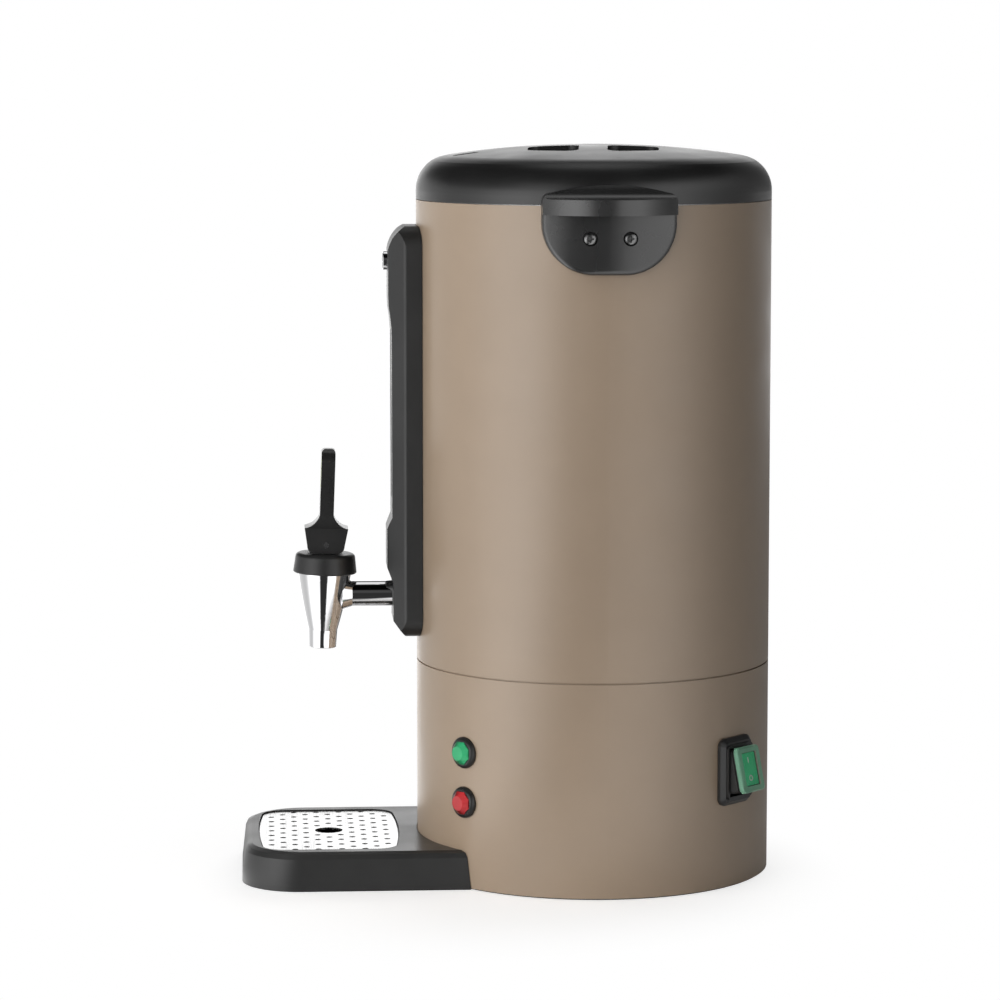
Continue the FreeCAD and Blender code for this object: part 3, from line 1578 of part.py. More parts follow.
def inlet_pin(y, rise, grow):
    """Contact pin that runs from the socket through its floor to a tab behind."""
    floor = body_radius + inlet_flange_proud - inlet_cavity_depth
    wide, thick = inlet_pin_width / 2 + grow, inlet_pin_thickness / 2 + grow
    z = inlet_height + rise
    return box((floor - inlet_floor - inlet_tab_length, floor + inlet_pin_length),
               (y - thick, y + thick), (z - wide, z + wide))


def inlet_pins():
    return [turned(inlet_pin(y, rise, 0), inlet_angle) for y, rise in inlet_pin_places()]


def inlet_screws():
    """Screws through the inlet's flange and the base shell."""
    seat = body_radius + inlet_flange_proud
    return [turned(pan_screw(m3_radius, m3_head_radius, m3_head_height, inlet_screw_length,
                             (seat, side * inlet_screw_spacing / 2, inlet_height), (1, 0, 0)), inlet_angle)
            for side in (-1, 1)]


def pump_tube():
    """Riser tube with a bell foot that stands in the tank's well."""
    outer, inner = tube_radius, tube_radius - tube_wall
    low = well_bottom
    shoulder = low + bell_height
    collar_low = basket_low - basket_collar_height
    return revolved([
        (bell_radius - tube_wall, low),
        (bell_radius, low),
        (bell_radius, low + bell_lip),
        (outer, shoulder),
        (outer, collar_low),
        (basket_collar_radius, collar_low),
        (basket_collar_radius, basket_low),
        (outer, basket_low),
        (outer, tube_top),
        (inner, tube_top),
        (inner, shoulder + bell_shift),
        (bell_radius - tube_wall, low + bell_lip + bell_shift)])


def strainer_holes(low, high, inner, outer):
    """Holes on rings that fill a disc between two radii."""
    holes = []
    count = int((outer - inner) / strainer_pitch)
    for i in range(count):
        radius = inner + strainer_pitch * (i + strainer_start)
        around = int(2 * math.pi * radius / strainer_pitch)
        for j in range(around):
            angle = 2 * math.pi * j / around
            x, y = radius * math.cos(angle), radius * math.sin(angle)
            holes.append(rod(strainer_hole, (x, y, low - 1), (x, y, high + 1)))
    return holes


def coffee_basket():
    """Perforated basket with a sleeve that slides over the riser tube."""
    bore = tube_radius + fit_gap
    sleeve = basket_sleeve_radius
    low, high = basket_low, basket_high
    basket = revolved([
        (bore, low),
        (basket_radius, low),
        (basket_radius, high),
        (basket_radius - basket_wall, high),
        (basket_radius - basket_wall, low + basket_wall),
        (sleeve, low + basket_wall),
        (sleeve, high - basket_sleeve_drop),
        (bore, high - basket_sleeve_drop)])
    return basket.cut(strainer_holes(low, low + basket_wall, sleeve + basket_wall,
                                     basket_radius - strainer_margin))


def basket_cover():
    """Perforated spreader plate on the basket."""
    low = basket_high
    bore = tube_radius + fit_gap
    cover = revolved([
        (bore, low),
        (basket_radius, low),
        (basket_radius, low + cover_rim),
        (basket_radius - cover_thickness, low + cover_rim),
        (basket_radius - cover_thickness, low + cover_thickness),
        (bore + cover_thickness, low + cover_thickness),
        (bore + cover_thickness, low + cover_rim),
        (bore, low + cover_rim)])
    return cover.cut(strainer_holes(low, low + cover_thickness, bore + strainer_margin,
                                    basket_radius - strainer_margin))


def tray_outline(inset, z):
    """Plan of the tray at one height, with round front corners and a straight back."""
    half = tray_half_width - inset
    front = -tray_front + inset
    corner = tray_corner - inset / 2
    bend = corner * (1 - math.sqrt(0.5))
    return outline([(-half, 0), (-half, front + corner),
                    ((-half + bend, front + bend), (-half + corner, front)),
                    (half - corner, front),
                    ((half - bend, front + bend), (half, front + corner)),
                    (half, 0)], xy(z))


def tray_well(grow, low, high):
    """Upright block in the plan of the well, with bowed front and back ends."""
    half = well_half_width + grow
    front, back = well_front_y - grow, well_back_y + grow
    block = extruded([(-half, front + well_bow),
                      ((0, front), (half, front + well_bow)),
                      (half, back - well_bow),
                      ((0, back), (-half, back - well_bow))], xy(low), (0, 0, high - low))
    return block.makeFillet(well_corner + grow, upright_edges(block))


def drip_tray():
    """Moulded tray that wraps the front of the base, with a well under the grid."""
    edge = tray_edge
    wall = tray_wall
    bend = tray_edge_bend * edge
    draft_at_edge = tray_draft * (tray_height - edge) / tray_height
    skirt = Part.makeLoft([tray_outline(0, 0), tray_outline(draft_at_edge, tray_height - edge)], True)
    crown = Part.makeLoft([tray_outline(draft_at_edge, tray_height - edge),
                           tray_outline(draft_at_edge + bend, tray_height - bend),
                           tray_outline(draft_at_edge + edge, tray_height)], True, True)
    body = skirt.fuse(crown).removeSplitter()
    room_top = tray_height - wall
    room = Part.makeLoft([tray_outline(wall, -1), tray_outline(wall + tray_draft, room_top)], True)
    bowl = tray_well(wall, well_floor - wall, tray_height)
    room = room.cut(bowl)
    room = room.cut(cylinder_outside(body_radius + tray_body_gap + wall))
    well = tray_well(-well_ledge, well_floor, tray_height + 1)
    seat = tray_well(0, grid_low, tray_height + 1)
    tongue = box((-tongue_width / 2, tongue_width / 2),
                 (-body_radius - 2 * wall, -body_radius + tongue_reach),
                 (tongue_low, tongue_low + tongue_height))
    tray = body.cut([room, well, seat, cylinder_outside(body_radius + tray_body_gap)])
    return tray.fuse(tongue)


def drip_grid():
    """Steel grid with staggered round holes and a larger hole under the nozzle."""
    grid = tray_well(-grid_gap, grid_low, grid_high)
    holes = [rod(grid_drain_radius, (0, well_centre_y, 0), (0, well_centre_y, tray_height))]
    half_length = well_length / 2 - grid_gap - grid_margin
    half_width = well_half_width - grid_gap - grid_margin
    rows = int(half_width / grid_row_pitch) + 1
    for column in range(grid_columns):
        y = (column - (grid_columns - 1) / 2) * grid_column_pitch
        for row in range(-rows, rows + 1):
            x = (row + 0.5 * (column % 2)) * grid_row_pitch
            corner_x = abs(x) - (half_width - grid_corner)
            corner_y = abs(y) - (half_length - grid_corner)
            past_corner = min(corner_x, corner_y) > 0 and math.hypot(corner_x, corner_y) > grid_corner
            near_drain = math.hypot(x, y) < grid_drain_radius + 2 * grid_hole_radius
            if abs(x) < half_width and not past_corner and not near_drain:
                spot = (x, y + well_centre_y)
                holes.append(rod(grid_hole_radius, (*spot, 0), (*spot, tray_height)))
    return grid.cut(holes)


pieces = {
    "outer_shell": outer_shell,
    "base_shell": base_shell,
    "inner_tank": inner_tank,
    "base_plate": base_plate,
    "base_screws": base_screws,
    "foot_ring": foot_ring,
    "heater_plate": heater_plate,
    "heater_element": heater_element,
    "heater_clamp": heater_clamp,
    "clamp_nuts": clamp_nuts,
    "thermostat": thermostat,
    "thermal_cutout": thermal_cutout,
    "sensor_nuts": sensor_nuts,
    "terminal_block": terminal_block,
    "wiring": wiring,
    "inlet_socket": inlet_socket,
    "inlet_pins": inlet_pins,
    "inlet_screws": inlet_screws,
    "switch_housing": switch_housing,
    "switch_boot": switch_boot,
    "switch_rocker": switch_rocker,
    "switch_cap": switch_cap,
    "lamp_bezels": lamp_bezels,
    "green_lens": lambda: lens(green_lamp_height),
    "red_lens": lambda: lens(red_lamp_height),
    "lamp_nuts": lamp_nuts,
    "handle_right": handle_right,
    "handle_left": lambda: turned(handle_right(), 180),
    "handle_screws": handle_screws,
    "handle_nuts": handle_nuts,
    "column_cover": column_cover,
    "column_stud": column_stud,
    "column_nut": column_nut,
    "sight_fitting": sight_fitting,
    "sight_bracket": sight_bracket,
    "sight_glass": sight_glass,
    "sight_seals": sight_seals,
    "tap_body": tap_body,
    "tap_bonnet": tap_bonnet,
    "tap_stem": tap_stem,
    "seat_cup": seat_cup,
    "tap_spring": tap_spring,
    "tap_lever": tap_lever,
    "lever_inlay": lever_inlay,
    "lever_pin": lever_pin,
    "shank_spacer": shank_spacer,
    "shank_gasket": shank_gasket,
    "shank_nut": shank_nut,
    "lid_shell": lid_shell,
    "lid_liner": lid_liner,
    "lid_seal": lid_seal,
    "lid_screws": lid_screws,
    "pump_tube": pump_tube,
    "coffee_basket": coffee_basket,
    "basket_cover": basket_cover,
    "drip_tray": drip_tray,
    "drip_grid": drip_grid,
}

os.makedirs("parts", exist_ok=True)
for name, make in pieces.items():
    made = make()
    solids = made if isinstance(made, list) else made.Solids
    shape = solids[0] if len(solids) == 1 else Part.makeCompound(solids)
    volume = sum(solid.Volume for solid in shape.Solids)
    print(f"{name}: {len(shape.Solids)} solids, {volume:.0f} mm3, valid {shape.isValid()}")
    shape.exportStep(f"parts/{name}.step")
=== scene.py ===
import math

import bmesh
import bpy
from bpy.props import FloatProperty, FloatVectorProperty, IntProperty, PointerProperty
from mathutils import Matrix, Vector


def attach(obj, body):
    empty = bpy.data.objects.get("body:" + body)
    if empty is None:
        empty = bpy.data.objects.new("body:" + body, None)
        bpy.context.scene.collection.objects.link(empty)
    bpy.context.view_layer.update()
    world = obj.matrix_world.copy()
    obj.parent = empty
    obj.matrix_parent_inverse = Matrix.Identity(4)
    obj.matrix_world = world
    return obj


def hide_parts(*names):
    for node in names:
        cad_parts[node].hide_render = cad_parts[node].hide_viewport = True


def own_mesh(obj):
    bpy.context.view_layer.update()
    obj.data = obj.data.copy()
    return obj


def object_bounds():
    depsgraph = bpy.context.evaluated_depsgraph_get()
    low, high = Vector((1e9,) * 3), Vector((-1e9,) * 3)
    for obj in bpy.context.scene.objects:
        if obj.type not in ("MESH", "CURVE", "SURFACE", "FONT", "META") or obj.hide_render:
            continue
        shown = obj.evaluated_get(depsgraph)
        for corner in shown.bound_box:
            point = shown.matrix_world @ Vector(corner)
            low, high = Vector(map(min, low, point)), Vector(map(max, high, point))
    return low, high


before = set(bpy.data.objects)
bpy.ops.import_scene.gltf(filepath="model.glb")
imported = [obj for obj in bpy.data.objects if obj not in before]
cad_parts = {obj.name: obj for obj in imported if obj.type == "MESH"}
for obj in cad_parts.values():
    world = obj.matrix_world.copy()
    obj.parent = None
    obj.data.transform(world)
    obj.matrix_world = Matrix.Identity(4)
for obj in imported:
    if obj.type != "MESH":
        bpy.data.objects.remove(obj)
cad_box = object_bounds()

bl_info = {
    "name": "Coffee urn dressing",
    "version": (1, 0, 0),
    "blender": (4, 5, 0),
    "location": "View3D > Sidebar > Coffee urn",
    "description": "Finishes and small pieces for a percolating coffee urn, and a plain studio",
    "category": "Object",
}

MICRON = 0.000001
WHITE = (1.0, 1.0, 1.0, 1.0)

# Noise scale of a moulded skin, and of the finer one on pieces a few centimetres across
PLASTIC_GRAIN = 1400.0
SMALL_GRAIN = 2500.0

# How fast brushed lines change along X, Y and Z: these run level, round the urn
LEVEL_LINES = (20.0, 20.0, 3000.0)

# Nearly all values of a noise texture lie between these
NOISE_LOW, NOISE_HIGH = 0.3, 0.7

# How near points lie to one plane, in metres, and how square on a face lies, as a cosine
FLUSH = 0.00001
SQUARE_ON = 0.99


# Settings

def colour_setting(name, description, default):
    return FloatVectorProperty(name=name, description=description, subtype="COLOR", size=3,
                               min=0.0, max=1.0, default=default)


def length_setting(name, description, default):
    return FloatProperty(name=name, description=description, subtype="DISTANCE", unit="LENGTH",
                         min=0.0, default=default)


def angle_setting(name, description, default):
    """Angle whose default is given in degrees."""
    return FloatProperty(name=name, description=description, subtype="ANGLE", unit="ROTATION",
                         default=math.radians(default))


def share_setting(name, description, default):
    return FloatProperty(name=name, description=description, subtype="FACTOR", min=0.0, max=1.0,
                         default=default)


def power_setting(name, description, default):
    return FloatProperty(name=name, description=description, subtype="POWER", unit="POWER",
                         min=0.0, default=default)


class BodySettings(bpy.types.PropertyGroup):
    """Paint, plastics and metals of the pieces outside."""
    paint: colour_setting("Paint", "Warm grey-brown of the painted steel", (0.320, 0.240, 0.170))
    paint_roughness: share_setting("Paint roughness", "Sheen of the paint, from mirror to chalk", 0.34)
    plastic: colour_setting("Plastic", "Black of the column, tap, switch and inlet", (0.018, 0.018, 0.018))
    lid: colour_setting("Lid", "Black of the lid", (0.013, 0.013, 0.013))
    handles: colour_setting("Handles", "Black of the side handles", (0.022, 0.022, 0.022))
    tray: colour_setting("Tray", "Black of the drip tray", (0.024, 0.024, 0.024))
    inlay: colour_setting("Inlay", "Lime strip in the lever", (0.30, 0.36, 0.06))
    steel: colour_setting("Steel", "Bare steel of the tank and the fixings", (0.62, 0.62, 0.62))
    screws: colour_setting("Handle screws", "Dark steel of the handles' screws", (0.18, 0.18, 0.18))
    grid: colour_setting("Grid", "Bright steel of the drip grid", (0.70, 0.70, 0.70))
    chrome: colour_setting("Chrome", "Plated metal of the tap", (0.88, 0.88, 0.89))
    spring_wire: length_setting("Spring wire", "Thickness of the spring's wire", 0.0009)
    spring_turns: IntProperty(name="Spring turns", description="Turns of the spring", min=1, default=6)
    stem_travel: length_setting("Stem travel", "How far the open tap shortens the spring", 0.0063)


class SignalSettings(bpy.types.PropertyGroup):
    """Colours of the pilot lamps and the switch, and sizes of the marks."""
    green: colour_setting("Green", "Green lens", (0.030, 0.370, 0.150))
    red: colour_setting("Red", "Red lens", (0.500, 0.030, 0.035))
    rocker: colour_setting("Rocker", "Green key of the switch", (0.045, 0.800, 0.340))
    cap: colour_setting("Cap", "Milky green of the splash cap", (0.260, 0.560, 0.380))
    cap_cover: share_setting("Cap cover", "How much the cap's milky walls hide", 0.6)
    window_cover: share_setting("Window cover", "How much the cap hides in front of the key", 0.12)
    window_corner: length_setting("Window corner", "Round corner of the clear window", 0.0008)
    mark: colour_setting("Marks", "Line and ring on the rocker", (0.82, 0.86, 0.84))
    mark_height: length_setting("Mark height", "Height of the line and of the ring", 0.0036)
    mark_line: length_setting("Mark line", "Breadth of the marks' strokes", 0.0008)
    mark_rise: length_setting("Mark rise", "From the rocker's middle to either mark", 0.0054)
    mark_film: length_setting("Mark film", "Thickness of the printed film", 0.00005)


class InsideSettings(bpy.types.PropertyGroup):
    """Colours of the pieces inside the urn, below it and behind it."""
    aluminium: colour_setting("Aluminium", "Riser tube, basket and its cover", (0.76, 0.76, 0.77))
    casting: colour_setting("Casting", "Heater plate and heat switches", (0.70, 0.70, 0.71))
    sheath: colour_setting("Sheath", "Heat-stained sheath of the heater", (0.28, 0.26, 0.25))
    zinc: colour_setting("Zinc", "Plated clamp and nuts", (0.66, 0.66, 0.62))
    bottom: colour_setting("Bottom", "Steel of the bottom plate", (0.55, 0.55, 0.54))
    brass: colour_setting("Brass", "Contacts of the inlet", (0.70, 0.53, 0.25))
    ceramic: colour_setting("Ceramic", "Terminal block", (0.78, 0.76, 0.70))
    leads: colour_setting("Leads", "Insulation of the wiring", (0.36, 0.05, 0.03))
    silicone: colour_setting("Silicone", "Seals and the tap's seat cup", (0.62, 0.60, 0.57))
    pale_plastic: colour_setting("Pale plastic", "Sight blocks and spacer", (0.70, 0.69, 0.66))
    glass: colour_setting("Glass", "Sight glass", (0.93, 0.96, 0.96))
    rubber: colour_setting("Rubber", "Foot ring", (0.018, 0.018, 0.018))


class StageSettings(bpy.types.PropertyGroup):
    """Floor, lights and camera."""
    floor: colour_setting("Floor", "Pale floor", (0.93, 0.93, 0.93))
    floor_lift: share_setting("Floor lift", "Light added to the floor as the camera sees it", 0.42)
    distance: length_setting("Camera distance", "From the body's axis to the camera", 2.35)
    height: length_setting("Camera height", "Above the table", 0.5022)
    azimuth: angle_setting("Camera azimuth", "Round the body, from the tap's side", 85.07)
    pitch: angle_setting("Camera pitch", "Downward tilt", 6.73)
    yaw: angle_setting("Camera yaw", "Aim to the left of the body's axis", 1.38)
    focal: FloatProperty(name="Focal length", description="For a sensor 36 mm wide", unit="CAMERA",
                         default=139.6)
    key: power_setting("Key light", "Wide soft light on the tap's side", 18.5)
    high: power_setting("High light", "Soft light above the key light", 11.0)
    left: power_setting("Left light", "Soft light at the far left", 7.5)
    front: power_setting("Front light", "Soft light beside the camera", 8.5)
    top: power_setting("Top light", "Soft light above the lid", 3.0)
    back: power_setting("Back light", "Soft light behind", 12.0)
    low: power_setting("Low light", "Narrow light on the base", 0.042)
    sky: share_setting("Sky", "Strength of the even light from all round", 0.08)


# Shader nodes

def node(tree, kind, inputs=(), **settings):
    """New node with its settings; each input takes another node's output or a value."""
    made = tree.nodes.new(kind)
    for key, value in settings.items():
        setattr(made, key, value)
    for socket, source in dict(inputs).items():
        if hasattr(source, "is_output"):
            tree.links.new(source, made.inputs[socket])
        else:
            made.inputs[socket].default_value = source
    return made


def maths(tree, operation, first, second):
    return node(tree, "ShaderNodeMath", {0: first, 1: second}, operation=operation).outputs[0]


def scaled(tree, vector, factor):
    return node(tree, "ShaderNodeVectorMath", {0: vector, "Scale": factor}, operation="SCALE").outputs[0]


def between(tree, value, start, end, low=0.0, high=1.0, curve="LINEAR"):
    """Runs from low to high as the value goes from start to end."""
    made = node(tree, "ShaderNodeMapRange", {"Value": value, "From Min": start, "From Max": end,
                                             "To Min": low, "To Max": high}, interpolation_type=curve)
    return made.outputs["Result"]


def on_object(tree):
    """Place on the object, in metres."""
    return node(tree, "ShaderNodeTexCoord").outputs["Object"]


def noise(tree, vector, scale, detail=3.0):
    made = node(tree, "ShaderNodeTexNoise", {"Vector": vector, "Scale": scale, "Detail": detail})
    return made.outputs["Fac"]


def swing(tree, pattern, amount, middle):
    """Noise turned into values that swing by an amount about a middle."""
    level = between(tree, pattern, NOISE_LOW, NOISE_HIGH, low=-1.0, high=1.0)
    return maths(tree, "ADD", maths(tree, "MULTIPLY", level, amount), middle)


# Shader groups

def new_group(name, inputs, outputs):
    """Empty shader group; inputs are name and default, outputs are name and socket type."""
    group = bpy.data.node_groups.new(name, "ShaderNodeTree")
    for label, default in inputs.items():
        kind = "NodeSocketFloat"
        if not isinstance(default, (int, float)):
            kind = "NodeSocketColor" if len(default) == 4 else "NodeSocketVector"
        socket = group.interface.new_socket(label, in_out="INPUT", socket_type=kind)
        socket.default_value = default
    for label, kind in outputs.items():
        group.interface.new_socket(label, in_out="OUTPUT", socket_type=kind)
    return group, group.nodes.new("NodeGroupInput").outputs, group.nodes.new("NodeGroupOutput").inputs


def mottle_group():
    """Colour that drifts a little lighter and darker over the surface."""
    group, given, result = new_group(
        "Mottled colour", {"Colour": (0.5, 0.5, 0.5, 1.0), "Scale": 40.0, "Amount": 0.1},
        {"Colour": "NodeSocketColor"})
    broad = noise(group, on_object(group), given["Scale"])
    factor = swing(group, broad, given["Amount"], 1.0)
    group.links.new(scaled(group, given["Colour"], factor), result["Colour"])
    return group


def pebble_group():
    """Fine pebbled skin of paint or moulded plastic, with uneven sheen."""
    group, given, result = new_group(
        "Pebbled skin", {"Scale": 900.0, "Roughness": 0.4, "Unevenness": 0.04},
        {"Height": "NodeSocketFloat", "Roughness": "NodeSocketFloat"})
    place = on_object(group)
    fine = noise(group, place, given["Scale"], detail=2.0)
    broad = noise(group, place, scale=30.0)
    group.links.new(fine, result["Height"])
    group.links.new(swing(group, broad, given["Unevenness"], given["Roughness"]), result["Roughness"])
    return group


def brushed_group():
    """Fine parallel lines; the stretch is how fast they change along X, Y and Z."""
    group, given, result = new_group(
        "Brushed lines", {"Stretch": LEVEL_LINES, "Roughness": 0.3, "Unevenness": 0.1},
        {"Height": "NodeSocketFloat", "Roughness": "NodeSocketFloat"})
    stretched = node(group, "ShaderNodeVectorMath", {0: on_object(group), 1: given["Stretch"]},
                     operation="MULTIPLY")
    lines = noise(group, stretched.outputs[0], scale=1.0, detail=4.0)
    group.links.new(lines, result["Height"])
    group.links.new(swing(group, lines, given["Unevenness"], given["Roughness"]), result["Roughness"])
    return group


def placed(tree, name, make, **values):
    """Shader group in a material, built at its first use, with the material's own values."""
    group = bpy.data.node_groups.get(name) or make()
    return node(tree, "ShaderNodeGroup", values, node_tree=group).outputs


# Materials

def new_material(name):
    made = bpy.data.materials.new(name)
    made.use_nodes = True
    return made, made.node_tree, made.node_tree.nodes["Principled BSDF"]


def finish(name, colour, roughness, grain=900.0, stretch=None, depth=20, uneven=0.04, mottle=0.06,
           **sockets):
    """Material with a mottled colour and a pebbled skin, or a brushed one where a stretch is given.

    The grain is the pebbles' noise scale and the depth is in micrometres. The sockets set the
    shader's own values.
    """
    made, tree, shader = new_material(name)
    tint = placed(tree, "Mottled colour", mottle_group, Colour=(*colour, 1.0), Amount=mottle)
    if stretch:
        skin = placed(tree, "Brushed lines", brushed_group, Stretch=stretch, Roughness=roughness,
                      Unevenness=uneven)
    else:
        skin = placed(tree, "Pebbled skin", pebble_group, Scale=grain, Roughness=roughness,
                      Unevenness=uneven)
    bump = node(tree, "ShaderNodeBump", {"Height": skin["Height"], "Strength": 1.0,
                                         "Distance": depth * MICRON})
    tree.links.new(tint["Colour"], shader.inputs["Base Color"])
    tree.links.new(skin["Roughness"], shader.inputs["Roughness"])
    tree.links.new(bump.outputs["Normal"], shader.inputs["Normal"])
    for socket, value in sockets.items():
        shader.inputs[socket.replace("_", " ")].default_value = value
    return made


def plastic(name, colour, roughness, grain=PLASTIC_GRAIN, **sockets):
    return finish(name, colour, roughness, grain, depth=30, mottle=0.12, **sockets)


def pale_plastic(name, colour):
    return finish(name, colour, 0.42, PLASTIC_GRAIN, depth=30)


def silicone(name, colour):
    return finish(name, colour, 0.5, depth=30, Subsurface_Weight=0.15)


def steel(name, colour, roughness=0.3, stretch=LEVEL_LINES, uneven=0.08):
    return finish(name, colour, roughness, stretch=stretch, depth=4, uneven=uneven, mottle=0.05,
                  Metallic=1.0)


def chrome(name, colour, roughness=0.04):
    return finish(name, colour, roughness, grain=300.0, depth=0, uneven=0.02, mottle=0.01, Metallic=1.0)


def clear_glass(name, colour):
    return finish(name, colour, 0.03, grain=200.0, depth=10, uneven=0.02, mottle=0.01,
                  Transmission_Weight=1.0, IOR=1.46)


def slant(tree):
    """How far the surface turns away from the eye."""
    return node(tree, "ShaderNodeLayerWeight", {"Blend": 0.5}).outputs["Facing"]


def see_through(name, colour, cover):
    """Thin clear moulding that hides a share of what lies behind it, and more where seen aslant."""
    made = finish(name, colour, 0.2, SMALL_GRAIN, depth=5, mottle=0.02)
    tree = made.node_tree
    share = between(tree, slant(tree), 0.4, 1.0, low=cover, high=1.0)
    tree.links.new(share, tree.nodes["Principled BSDF"].inputs["Alpha"])
    return made


def lens(name, colour):
    """Moulded lens whose colour is painted lighter where it faces the eye, with painted shade where it
    turns away.
    """
    made = finish(name, colour, 0.26, grain=1200.0, depth=30, mottle=0.2)
    tree = made.node_tree
    tint = tree.nodes["Principled BSDF"].inputs["Base Color"]
    # Painted light: the lens colour is raised where it faces the eye and darkened as painted shade towards
    # its turned-away edges
    level = between(tree, slant(tree), 0.25, 0.7, low=1.15, high=0.35)
    tree.links.new(scaled(tree, tint.links[0].from_socket, level), tint)
    return made


def dress(material, *nodes):
    """Puts a material on CAD pieces."""
    for name in nodes:
        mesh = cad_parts[name].data
        mesh.materials.clear()
        mesh.materials.append(material)


# Shapes

def rounded(width, height, radius, steps=12):
    """Points of a rectangle with round corners, as X and Y."""
    points = []
    for i in range(4 * steps):
        angle = math.pi / 2 * (i + 0.5) / steps
        along, up = math.cos(angle), math.sin(angle)
        points.append((math.copysign(width / 2 - radius, along) + radius * along,
                       math.copysign(height / 2 - radius, up) + radius * up))
    return points


def add_band(form, near, far):
    """Faces between two rings with as many points."""
    for i in range(len(near)):
        j = (i + 1) % len(near)
        form.faces.new((near[i], near[j], far[j], far[i]))


def placed_mesh(name, form):
    """Object made of a finished form."""
    mesh = bpy.data.meshes.new(name)
    form.to_mesh(mesh)
    form.free()
    made = bpy.data.objects.new(name, mesh)
    bpy.context.scene.collection.objects.link(made)
    return made


def thin_plate(name, outline, thickness, hole=None):
    """Flat plate on the plane Z = 0, whole or with a hole of as many points as its outline."""
    form = bmesh.new()

    def ring(points, z):
        return [form.verts.new((x, y, z)) for x, y in points]

    under, over = ring(outline, 0.0), ring(outline, thickness)
    add_band(form, under, over)
    if hole:
        hole_under, hole_over = ring(hole, 0.0), ring(hole, thickness)
        add_band(form, hole_over, hole_under)
        add_band(form, hole_under, under)
        add_band(form, over, hole_over)
    else:
        form.faces.new(under[::-1])
        form.faces.new(over)
    return placed_mesh(name, form)


def coil(name, low, high, radius, wire, turns, steps=24, sides=8):
    """Coil of round wire round the line between two points; the radii are the coil's and the wire's."""
    axis = high - low
    turn = axis.to_track_quat("Z", "Y").to_matrix()
    form = bmesh.new()
    rings = []
    for i in range(turns * steps + 1):
        angle = 2 * math.pi * i / steps
        rise = wire + (axis.length - 2 * wire) * i / (turns * steps)
        ring = []
        for j in range(sides):
            bend = 2 * math.pi * j / sides
            reach = radius + wire * math.cos(bend)
            place = Vector((reach * math.cos(angle), reach * math.sin(angle), rise + wire * math.sin(bend)))
            ring.append(form.verts.new(low + turn @ place))
        rings.append(ring)
    for near, far in zip(rings, rings[1:]):
        add_band(form, near, far)
    form.faces.new(rings[0])
    form.faces.new(rings[-1][::-1])
    bmesh.ops.recalc_face_normals(form, faces=form.faces[:])
    return placed_mesh(name, form)


def front_face(name):
    """Place of a piece's flat front, with X across it, Y up it and Z out of it; its width; its height."""
    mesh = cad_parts[name].data
    front = max(mesh.polygons, key=lambda face: face.area * face.normal.dot(face.center))
    out = front.normal.copy()
    up = (Vector((0, 0, 1)) - out * out.z).normalized()
    across = up.cross(out)
    offsets = [corner.co - front.center for corner in mesh.vertices]
    flat = [offset for offset in offsets if abs(offset.dot(out)) < FLUSH]
    sides = [offset.dot(across) for offset in flat]
    rises = [offset.dot(up) for offset in flat]
    middle = across * (max(sides) + min(sides)) / 2 + up * (max(rises) + min(rises)) / 2
    turn = Matrix((across, up, out)).transposed().to_4x4()
    return (Matrix.Translation(front.center + middle) @ turn,
            max(sides) - min(sides), max(rises) - min(rises))


# Pieces

class PieceOperator:
    """Options that the operators share."""
    bl_options = {"REGISTER", "UNDO"}


class URN_OT_shells(PieceOperator, bpy.types.Operator):
    """Paint the outer shell and the base shell"""
    bl_idname = "urn.shells"
    bl_label = "Painted shells"

    def execute(self, context):
        body = context.scene.urn_body
        dress(finish("Warm grey-brown paint", body.paint, body.paint_roughness, grain=700.0, uneven=0.03,
                     mottle=0.02, Specular_IOR_Level=0.75), "outer_shell", "base_shell")
        return {"FINISHED"}


class URN_OT_lid(PieceOperator, bpy.types.Operator):
    """Finish the lid, its liner, its seal and its screws"""
    bl_idname = "urn.lid"
    bl_label = "Lid"

    def execute(self, context):
        body, inside = context.scene.urn_body, context.scene.urn_inside
        dress(plastic("Lid plastic", body.lid, 0.34, Specular_IOR_Level=0.65), "lid_shell")
        dress(steel("Lid liner steel", body.steel, stretch=(2500.0, 15.0, 15.0)), "lid_liner")
        dress(silicone("Lid seal silicone", inside.silicone), "lid_seal")
        dress(steel("Lid screw steel", body.steel), "lid_screws")
        return {"FINISHED"}


class URN_OT_handles(PieceOperator, bpy.types.Operator):
    """Finish the side handles with their screws and nuts"""
    bl_idname = "urn.handles"
    bl_label = "Handles"

    def execute(self, context):
        body = context.scene.urn_body
        dress(plastic("Handle plastic", body.handles, 0.26, Specular_IOR_Level=0.8),
              "handle_right", "handle_left")
        dress(steel("Handle screw steel", body.screws), "handle_screws")
        dress(steel("Handle nut steel", body.steel), "handle_nuts")
        return {"FINISHED"}


class URN_OT_column(PieceOperator, bpy.types.Operator):
    """Finish the front column and the sight glass behind it"""
    bl_idname = "urn.column"
    bl_label = "Column and sight glass"

    def execute(self, context):
        body, inside = context.scene.urn_body, context.scene.urn_inside
        dress(plastic("Column plastic", body.plastic, 0.4), "column_cover")
        dress(chrome("Column stud plating", body.chrome, 0.12), "column_stud")
        dress(steel("Column nut steel", body.steel), "column_nut")
        dress(pale_plastic("Sight block plastic", inside.pale_plastic), "sight_fitting", "sight_bracket")
        dress(clear_glass("Sight glass", inside.glass), "sight_glass")
        dress(silicone("Sight seal silicone", inside.silicone), "sight_seals")
        return {"FINISHED"}


